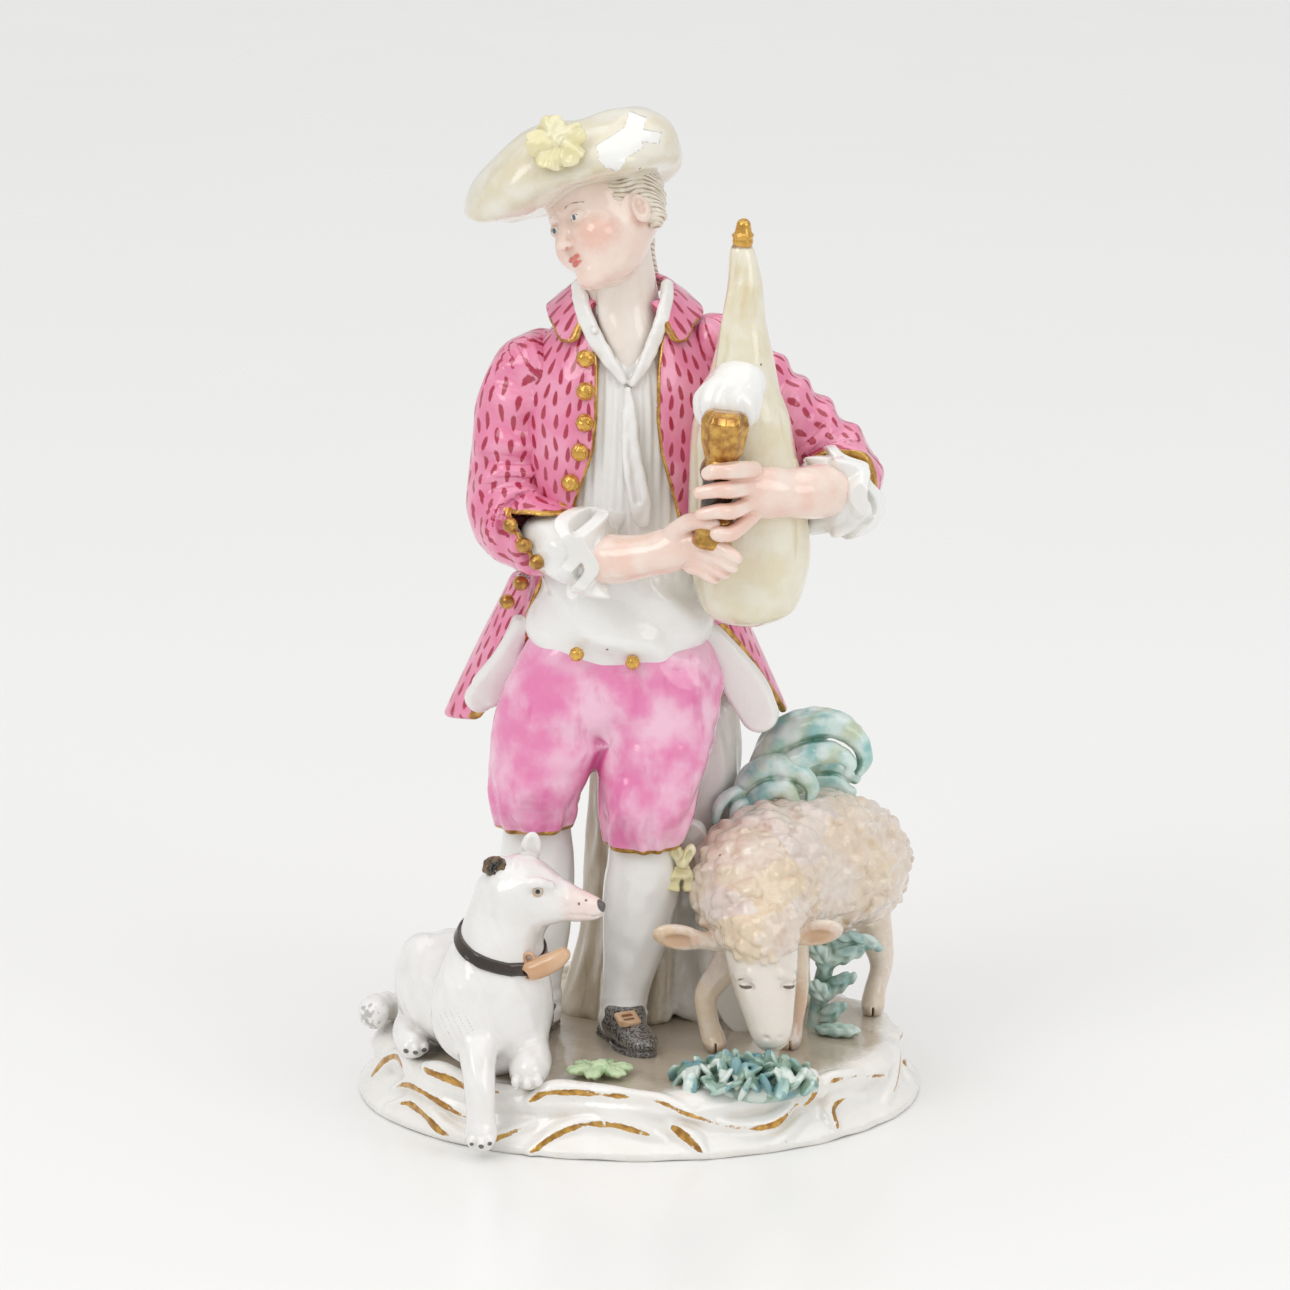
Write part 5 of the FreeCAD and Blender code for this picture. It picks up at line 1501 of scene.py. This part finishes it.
def tone(code):
    """A colour given as six hexadecimal digits, in linear light."""
    channels = [int(code[i:i + 2], 16) / 255 for i in (0, 2, 4)]
    return (*[c / 12.92 if c <= 0.04045 else ((c + 0.055) / 1.055) ** 2.4 for c in channels], 1.0)


class Paint:
    """A fired surface made of nodes; its methods add nodes and hand back their outputs."""

    def __init__(self, name):
        self.material = bpy.data.materials.new(name)
        self.material.use_nodes = True
        tree = self.material.node_tree
        self.nodes, self.links = tree.nodes, tree.links
        self.nodes.clear()
        self.shader = self.nodes.new("ShaderNodeBsdfPrincipled")
        output = self.nodes.new("ShaderNodeOutputMaterial")
        self.links.new(self.shader.outputs["BSDF"], output.inputs["Surface"])
        scaled = self.nodes.new("ShaderNodeVectorMath")
        scaled.operation = "SCALE"
        scaled.inputs["Scale"].default_value = 1 / MM
        self.links.new(self.nodes.new("ShaderNodeTexCoord").outputs["Object"], scaled.inputs[0])
        self.place = scaled.outputs[0]

    def plug(self, socket, value):
        if isinstance(value, bpy.types.NodeSocket):
            self.links.new(value, socket)
        else:
            socket.default_value = value

    def math(self, operation, *values, clamp=False):
        node = self.nodes.new("ShaderNodeMath")
        node.operation, node.use_clamp = operation, clamp
        for socket, value in zip(node.inputs, values):
            self.plug(socket, value)
        return node.outputs[0]

    def mix(self, amount, a, b):
        node = self.nodes.new("ShaderNodeMix")
        node.data_type = "RGBA"
        self.plug(node.inputs["Factor"], amount)
        for name, value in (("A", a), ("B", b)):
            self.plug(next(s for s in node.inputs if s.name == name and s.type == "RGBA"), value)
        return next(s for s in node.outputs if s.type == "RGBA")

    def noise(self, size, detail=3.0, stretch=(1, 1, 1)):
        """Cloudy unevenness about 0.5, size millimetres across."""
        mapping = self.nodes.new("ShaderNodeMapping")
        self.plug(mapping.inputs["Vector"], self.place)
        self.plug(mapping.inputs["Scale"], [1 / size / side for side in stretch])
        node = self.nodes.new("ShaderNodeTexNoise")
        self.plug(node.inputs["Vector"], mapping.outputs[0])
        self.plug(node.inputs["Scale"], 1.0)
        self.plug(node.inputs["Detail"], detail)
        return node.outputs["Fac"]

    def step(self, value, start, end):
        """0 at start, 1 at end, eased between."""
        node = self.nodes.new("ShaderNodeMapRange")
        node.interpolation_type = "SMOOTHSTEP"
        self.plug(node.inputs["Value"], value)
        self.plug(node.inputs["From Min"], start)
        self.plug(node.inputs["From Max"], end)
        return node.outputs["Result"]

    def layer(self, name, output="Fac"):
        node = self.nodes.new("ShaderNodeAttribute")
        node.attribute_name = name
        return node.outputs[output]

    def stroke(self, name, soft=0.12, wobble=0.3):
        """1 where the layer's distance is below zero, with a brush's uneven edge."""
        uneven = self.math("MULTIPLY_ADD", self.noise(0.8, 2), wobble, -0.5 * wobble)
        value = self.math("ADD", self.layer(name), uneven)
        return self.math("SUBTRACT", 1.0, self.step(value, -soft, soft))

    def specks(self, size, amount):
        """Small round spots, in about that share of the cells."""
        cells = self.nodes.new("ShaderNodeTexVoronoi")
        self.plug(cells.inputs["Vector"], self.place)
        self.plug(cells.inputs["Scale"], 1 / size)
        luck = self.math("FRACT", self.math("MULTIPLY", cells.outputs["Color"], 7.3))
        chosen = self.math("LESS_THAN", luck, amount)
        spot = self.math("SUBTRACT", 1.0, self.step(cells.outputs["Distance"], 0.06, 0.13))
        return self.math("MULTIPLY", chosen, spot)

    def dashes(self):
        """Short staggered brush dabs laid out in the layer "cloth", in millimetres."""
        cloth = self.nodes.new("ShaderNodeSeparateXYZ")
        self.plug(cloth.inputs[0], self.layer("cloth", "Vector"))
        wide, tall = 1.8, 3.1
        across = self.math("DIVIDE", cloth.outputs["X"], wide)
        column = self.math("FLOOR", across)
        stagger = self.math("MULTIPLY", column, 0.46)
        along = self.math("ADD", self.math("DIVIDE", cloth.outputs["Y"], tall), stagger)
        cell = self.nodes.new("ShaderNodeCombineXYZ")
        self.plug(cell.inputs["X"], column)
        self.plug(cell.inputs["Y"], self.math("FLOOR", along))
        luck = self.nodes.new("ShaderNodeTexWhiteNoise")
        self.plug(luck.inputs["Vector"], cell.outputs[0])
        jitter = self.nodes.new("ShaderNodeSeparateXYZ")
        self.plug(jitter.inputs[0], luck.outputs["Color"])
        away = []
        for place, nudge, size, reach in ((across, "X", wide, 0.36), (along, "Y", tall, 1.12)):
            offset = self.math("SUBTRACT", self.math("FRACT", place), 0.5)
            push = self.math("SUBTRACT", jitter.outputs[nudge], 0.5)
            offset = self.math("MULTIPLY_ADD", push, 0.26, offset)
            away.append(self.math("MULTIPLY", offset, size / reach))
        lean = self.math("MULTIPLY", self.math("SUBTRACT", jitter.outputs["Z"], 0.5), 1.3)
        away[0] = self.math("MULTIPLY_ADD", lean, away[1], away[0])
        tear = self.math("MULTIPLY_ADD", away[1], 0.25, 1.0)
        squared = [self.math("POWER", self.math("ABSOLUTE", value), 2.0)
                   for value in (self.math("MULTIPLY", away[0], tear), away[1])]
        distance = self.math("SQRT", self.math("ADD", *squared))
        uneven = self.math("MULTIPLY_ADD", self.noise(0.6, 2), 0.5, distance)
        return self.math("SUBTRACT", 1.0, self.step(uneven, 1.05, 1.4))


def gild(paint, colour, gloss):
    """Gold, worn in places, where the layer "gilt" is below zero."""
    worn = paint.step(paint.noise(0.9, 4), 0.24, 0.38)
    gold = paint.math("MULTIPLY", paint.stroke("gilt", 0.07, 0.35), worn)
    shade = paint.mix(paint.step(paint.noise(1.2, 3), 0.3, 0.7), tone("a26f2c"), tone("d6a850"))
    paint.plug(paint.shader.inputs["Metallic"], paint.math("MULTIPLY", gold, 0.75))
    return paint.mix(gold, colour, shade), paint.math("MULTIPLY_ADD", gold, 0.14, gloss)


def fire(paint, colour, gloss, ripple):
    """The clear glaze over the colours: its gloss, its coat and its slight ripples."""
    paint.plug(paint.shader.inputs["Base Color"], colour)
    paint.plug(paint.shader.inputs["Roughness"], gloss)
    paint.shader.inputs["Coat Weight"].default_value = 0.6
    paint.shader.inputs["Coat Roughness"].default_value = 0.06
    bump = paint.nodes.new("ShaderNodeBump")
    waves = paint.math("ADD", paint.noise(1.6, 2), paint.math("MULTIPLY", paint.noise(0.35, 2), 0.15))
    paint.plug(bump.inputs["Height"], waves)
    bump.inputs["Strength"].default_value = ripple
    bump.inputs["Distance"].default_value = 0.4 * MM
    paint.plug(paint.shader.inputs["Normal"], bump.outputs["Normal"])


def glaze(name, first, second, hollow_shade, cloud=5.0, hollow_shade_strength=0.6, strokes=(), gilt=False, lining=None, dabs=None,
          speck=0.015, stipple=None, rough=0.13, lines=None, metal=0.0, ripple=0.25):
    """Two glaze tones in clouds, painted shade lying in the hollows, then the brushwork over it.

    strokes are (layer, colour, softness, strength); lines are (colour, size, stretch, strength).
    """
    paint = Paint(name)
    colour = paint.mix(paint.step(paint.noise(cloud, 4), 0.35, 0.68), tone(first), tone(second))
    if lines:
        ink, size, stretch, strength = lines
        grain = paint.step(paint.noise(size, 3, stretch), 0.55, 0.72)
        colour = paint.mix(paint.math("MULTIPLY", grain, strength), colour, tone(ink))
    # painted shade: the fourth colour darkens the glaze where the layer "cavity" puts the surface in a hollow
    hollow = paint.step(paint.math("MULTIPLY_ADD", paint.noise(3, 3), 0.5, paint.layer("cavity")), 0.3, 0.95)
    colour = paint.mix(paint.math("MULTIPLY", hollow, hollow_shade_strength), colour, tone(hollow_shade))
    if dabs:
        colour = paint.mix(paint.dashes(), colour, tone(dabs))
    if stipple:
        dots = paint.step(paint.noise(0.32, 1), 0.47, 0.56)
        colour = paint.mix(paint.math("MULTIPLY", dots, 0.9), colour, tone(stipple))
    if lining:
        colour = paint.mix(paint.stroke("lining", 0.1, 0.2), colour, tone(lining))
    for layer, ink, soft, strength in strokes:
        stroke = paint.stroke(layer, soft, soft * 1.5)
        colour = paint.mix(paint.math("MULTIPLY", stroke, strength), colour, tone(ink))
    colour = paint.mix(paint.specks(2.2, speck), colour, tone("8a6a48"))
    gloss = paint.math("MULTIPLY_ADD", paint.noise(2.5, 3), 0.1, rough - 0.05)
    if gilt:
        colour, gloss = gild(paint, colour, gloss)
    if metal:
        sheen = paint.math("MULTIPLY_ADD", paint.noise(1.5, 2), 0.2, metal - 0.1)
        paint.plug(paint.shader.inputs["Metallic"], sheen)
    fire(paint, colour, gloss, ripple)
    return paint.material


INK = "2b2421"
FACE = [("blush", "eaa995", 0.5, 0.5), ("white", "f6f2ec", 0.06, 1.0), ("iris", "4f5b66", 0.06, 1.0),
        ("lips", "d2604e", 0.14, 0.9), ("line", "6b3c28", 0.07, 0.85)]
HOUND = [("blush", "eecbbb", 0.5, 0.6), ("grey", "8a8480", 0.12, 0.55), ("rim", "b98a4a", 0.1, 0.7),
       ("pupil", INK, 0.08, 1.0), ("line", INK, 0.08, 0.9)]
SHEEP = [("lock", "dfbf8e", 1.0, 0.6), ("mauve", "d5c2c8", 1.0, 0.55), ("face", "ece4da", 0.3, 0.8),
         ("tan", "cfa27c", 0.5, 0.65), ("hoof", "a58e74", 0.4, 0.5), ("line", "4a372c", 0.08, 0.9)]

# each glaze's fourth colour is painted shade, laid into its hollows
MATERIALS = {
    "base_glaze": glaze("base_glaze", "f4f2ee", "efece6", "d9cfbf", gilt=True,
                        strokes=[("ground", "b7a78f", 1.3, 0.8)]),
    "linen_glaze": glaze("linen_glaze", "f6f6f4", "f2f1ee", "d8d3cb", hollow_shade_strength=0.4),
    "coat_enamel": glaze("coat_enamel", "ec84aa", "f2a0bd", "c85583", dabs="b02a4a", lining="f0edea",
                         gilt=True),
    "breeches_enamel": glaze("breeches_enamel", "ec84b6", "f8c6dc", "d8529a", cloud=6, hollow_shade_strength=0.75, gilt=True,
                             lines=("dc5f9f", 3.2, (1, 1, 2.4), 0.5)),
    "gilding": glaze("gilding", "e0b254", "cb9638", "7d5420", cloud=1.6, metal=0.7, rough=0.2),
    "yellow_enamel": glaze("yellow_enamel", "eee8c6", "e5dca8", "c4b274"),
    "shoe_enamel": glaze("shoe_enamel", "8d8983", "75716c", "2c2b2c", stipple="3a3838"),
    "skin_enamel": glaze("skin_enamel", "f6e2d6", "f2d7c9", "deb09a", hollow_shade_strength=0.5, speck=0.004, strokes=FACE),
    "neck_enamel": glaze("neck_enamel", "f3e9df", "f0e4da", "d9c3ae", hollow_shade_strength=0.5, speck=0.004),
    "hand_enamel": glaze("hand_enamel", "f6e2d6", "f2d7c9", "d9a28c", hollow_shade_strength=0.6, speck=0.004,
                         strokes=[("blush", "efc0ac", 0.8, 0.5)]),
    "hair_enamel": glaze("hair_enamel", "f0e9dc", "e6dac4", "a8946a",
                         strokes=[("shade", "a5a17c", 1.2, 0.55), ("line", "8a6a4a", 0.3, 0.7)]),
    "hat_glaze": glaze("hat_glaze", "ebe7da", "e0d6ba", "bba877", cloud=6, hollow_shade_strength=0.75, speck=0.03,
                       strokes=[("patch", "f3f3f1", 0.05, 0.9), ("crack", "a39d8c", 0.05, 0.7)]),
    "bag_glaze": glaze("bag_glaze", "eee9d6", "e6dcbf", "c4ad7a", lines=("d2bf8a", 2.2, (1, 1, 5), 0.45),
                       strokes=[("seam", "d8caa4", 0.3, 0.5), ("tip", "8a5a24", 0.2, 0.8)]),
    "stock_enamel": glaze("stock_enamel", "7a4c24", "54311c", "24180f", gilt=True,
                          strokes=[("band", "35261c", 0.2, 0.9)]),
    "dog_glaze": glaze("dog_glaze", "f3f1ef", "eceae7", "c4bdb5", hollow_shade_strength=0.5, strokes=HOUND),
    "dark_enamel": glaze("dark_enamel", "25221f", "3a2c22", "120f0e"),
    "bell_enamel": glaze("bell_enamel", "dcb692", "cfa27a", "96683f"),
    "wool_glaze": glaze("wool_glaze", "eee8dc", "e4d9c6", "c3a98c", cloud=7, hollow_shade_strength=0.75, strokes=SHEEP),
    "stump_enamel": glaze("stump_enamel", "dccfba", "cbbca2", "a18c6e",
                          strokes=[("grain", "b8a384", 0.15, 0.4), ("pale", "f0eeea", 0.35, 0.85)]),
    # the olive stroke is partly olive patches and partly painted shade on the leaves' undersides
    "acanthus_enamel": glaze("acanthus_enamel", "d3e9e3", "8fc4c0", "5f8f7c", cloud=3, hollow_shade_strength=0.85,
                             strokes=[("olive_and_underside_shade", "b9bf8c", 0.6, 0.6), ("vein", "e6f1ee", 0.5, 0.6)]),
    "ear_enamel": glaze("ear_enamel", "2c241c", "7a5c30", "171310", cloud=1.2),
    "petal_enamel": glaze("petal_enamel", "cfe4b8", "bcd9ab", "88a878", cloud=2),
    "leaf_enamel": glaze("leaf_enamel", "c2dbd0", "8fb3b2", "5f7d62", cloud=3,
                         strokes=[("vein", "dfeae2", 0.4, 0.5)]),
    "shrub_enamel": glaze("shrub_enamel", "b7d2c6", "93b8b4", "5f7a58", cloud=2.4,
                          strokes=[("teal", "5f94a0", 0.4, 0.7), ("white", "e6eee8", 0.4, 0.8)]),
}


# ---------------------------------------------------------------- the pieces

WORKS = [
    Work("base_plinth", base, "base_glaze", step=0.42, marks=base_marks),
    Work("sheep_body", sheep, "wool_glaze", step=0.26, pad=3, marks=sheep_marks,
         also=("sheep_head", "sheep_ears", "sheep_foreleg_right", "sheep_foreleg_left",
               "sheep_hindleg_left", "sheep_hindleg_right")),
    Work("dog_body", dog, "dog_glaze", step=0.24, marks=dog_marks,
         also=("dog_head", "dog_ear_up", "dog_foreleg", "dog_tucked_foreleg", "dog_hindleg")),
    Work("tree_stump", stump, "stump_enamel", step=0.34, marks=stump_marks),
    Work("breeches", breeches, "breeches_enamel", step=0.28, marks=breeches_marks),
    Work("shirt", shirt, "linen_glaze", step=0.26, pad=9),
    Work("coat_body", coat_body, "coat_enamel", step=0.28, pad=2.5, marks=coat_marks),
    Work("coat_skirt_left", skirt(1), "coat_enamel", step=0.28, pad=3, marks=skirt_marks(1)),
    Work("coat_skirt_right", skirt(-1), "coat_enamel", step=0.28, marks=skirt_marks(-1)),
    Work("coat_collar", coat_collar, "coat_enamel", step=0.2, pad=4, marks=collar_marks),
    Work("coat_buttons", buttons_on("coat_buttons", COAT_BUTTONS, 1.25), "gilding", step=0.15, pad=6),
    Work("breeches_buttons", buttons_on("breeches_buttons", BREECHES_BUTTONS, 0.95), "gilding", step=0.14),
    Work("sleeve_right", sleeve("sleeve_right", ARM_RIGHT, 1), "coat_enamel", step=0.24, pad=2.5,
         marks=sleeve_marks("sleeve_right", ARM_RIGHT)),
    Work("sleeve_left", sleeve("sleeve_left", ARM_LEFT, 4), "coat_enamel", step=0.26,
         marks=sleeve_marks("sleeve_left", ARM_LEFT)),
    Work("shirt_sleeve_right", shirt_sleeve, "linen_glaze", step=0.22),
    Work("ruffle_right", ruffle("ruffle_right", place=(0.3, 0.4, 0.2), axis=(0.93, -0.36, 0.05),
                                sizes=(3.4, 6.8), folds=4, seed=0.4), "linen_glaze", step=0.2),
    Work("ruffle_left", ruffle("ruffle_left", place=(-0.4, 0.2, 0.0), axis=(-0.62, -0.78, 0.05),
                               sizes=(3.6, 6.6), folds=5, seed=1.7), "linen_glaze", step=0.2),
    Work("hand_right", hand_right, "hand_enamel", step=0.16, marks=hand_marks),
    Work("hand_left", hand_left, "hand_enamel", step=0.16, marks=hand_marks),
    Work("bagpipe_bag", bag, "bag_glaze", step=0.28, marks=bag_marks),
    Work("bag_socket", bag_socket, "linen_glaze", step=0.2, pad=3),
    Work("pipe_stock", stock, "stock_enamel", step=0.16, marks=stock_marks),
    Work("pipe_finial", finial, "gilding", step=0.14),
    Work("stocking_right", stocking("stocking_right"), "linen_glaze", step=0.26),
    Work("stocking_left", stocking("stocking_left"), "linen_glaze", step=0.26),
    Work("garter_bow", garter_bow, "yellow_enamel", step=0.14),
    Work("shoe_left", shoe("shoe_left"), "shoe_enamel", step=0.18, pad=2.5),
    Work("shoe_right", shoe("shoe_right"), "shoe_enamel", step=0.18, pad=2.5),
    Work("shoe_buckles", shoe_buckles, "bell_enamel", step=0.14),
    Work("head", head, "skin_enamel", step=0.16, marks=head_marks),
    Work("neck", neck, "neck_enamel", step=0.25, pad=16),
    Work("hair", hair, "hair_enamel", step=0.2, marks=hair_marks),
    Work("hair_queue", hair_queue, "hair_enamel", step=0.2, marks=hair_marks),
    Work("hat", hat, "hat_glaze", step=0.3, marks=hat_marks),
    Work("hat_flower", hat_flower, "yellow_enamel", step=0.16),
    Work("jabot", jabot, "linen_glaze", step=0.18, pad=13),
    Work("dog_ear_folded", dog_ear_folded, "ear_enamel", step=0.14),
    Work("dog_tail", dog_tail, "dog_glaze", step=0.2, marks=tail_marks),
    Work("dog_collar", dog_strap, "dark_enamel", step=0.18, pad=2.5),
    Work("dog_bell", dog_bell, "bell_enamel", step=0.15),
    Work("acanthus_main", fluted_leaf("acanthus_main"), "acanthus_enamel", step=0.2, marks=leaf_marks),
    Work("acanthus_middle", fluted_leaf("acanthus_middle"), "acanthus_enamel", step=0.18, marks=leaf_marks),
    Work("acanthus_front", fluted_leaf("acanthus_front"), "acanthus_enamel", step=0.16, marks=leaf_marks),
    Work("acanthus_back", fluted_leaf("acanthus_back"), "acanthus_enamel", step=0.18, marks=leaf_marks),
    Work("plant_stalk", plant, "leaf_enamel", step=0.18, marks=leaf_marks),
    Work("fallen_leaf", fallen_leaf, "leaf_enamel", step=0.14, marks=leaf_marks),
    Work("shrub", shrub, "shrub_enamel", step=0.2, marks=shrub_marks),
    Work("ground_flower", ground_flower, "petal_enamel", step=0.15),
]


def make_all(works):
    with ThreadPoolExecutor(WORKERS) as crew:
        list(crew.map(Work.carve_out, works))
    for work in works:
        work.place()


make_all(WORKS)


# ---------------------------------------------------------------- camera, lights and table

AIM = (0.00088, 0.0, 0.068)
DISTANCE = 0.9
ELEVATION = math.radians(15)


def add_camera():
    data = bpy.data.cameras.new("camera")
    data.sensor_width, data.lens = 36.0, 171.8
    data.clip_start, data.clip_end = 0.01, 50.0
    camera = bpy.data.objects.new("camera", data)
    back = np.array((0, -math.cos(ELEVATION), math.sin(ELEVATION)))
    camera.location = np.array(AIM) + DISTANCE * back
    camera.rotation_euler = (math.pi / 2 - ELEVATION, 0, 0)
    bpy.context.scene.collection.objects.link(camera)
    bpy.context.scene.camera = camera


def add_softbox(name, place, size, power):
    data = bpy.data.lights.new(name, "AREA")
    data.shape, data.size, data.energy = "DISK", size, power
    data.color = (1.0, 0.995, 0.985)
    lamp = bpy.data.objects.new(name, data)
    lamp.location = place
    towards = mathutils.Vector(AIM) - mathutils.Vector(place)
    lamp.rotation_euler = towards.to_track_quat("-Z", "Y").to_euler()
    bpy.context.scene.collection.objects.link(lamp)


def add_table():
    """A flat, pale table, wide enough to fill the picture from every side."""
    reach = 4.0
    corners = [(-reach, -reach, 0), (reach, -reach, 0), (reach, reach, 0), (-reach, reach, 0)]
    mesh = bpy.data.meshes.new("table")
    mesh.from_pydata(corners, [], [(0, 1, 2, 3)])
    paint = Paint("table")
    shade = paint.mix(paint.noise(400, 3), tone("f1f1f0"), tone("f4f4f3"))
    paint.plug(paint.shader.inputs["Base Color"], shade)
    paint.plug(paint.shader.inputs["Roughness"], paint.math("MULTIPLY_ADD", paint.noise(60, 3), 0.08, 0.22))
    mesh.materials.append(paint.material)
    table = bpy.data.objects.new("table", mesh)
    bpy.context.scene.collection.objects.link(table)


def light_room():
    world = bpy.data.worlds.new("room")
    world.use_nodes = True
    world.node_tree.nodes["Background"].inputs["Color"].default_value = (1, 1, 1, 1)
    world.node_tree.nodes["Background"].inputs["Strength"].default_value = 0.62
    bpy.context.scene.world = world
    add_softbox("key", (-0.75, -0.75, 0.9), 0.7, 3.4)
    add_softbox("fill", (0.85, -0.7, 0.6), 0.7, 2.0)
    sky = bpy.data.lights.new("sky", "SUN")
    sky.energy, sky.angle = 1.0, math.radians(80)
    bpy.context.scene.collection.objects.link(bpy.data.objects.new("sky", sky))
    bpy.context.scene.view_settings.view_transform = "Standard"


add_camera()
add_table()
light_room()
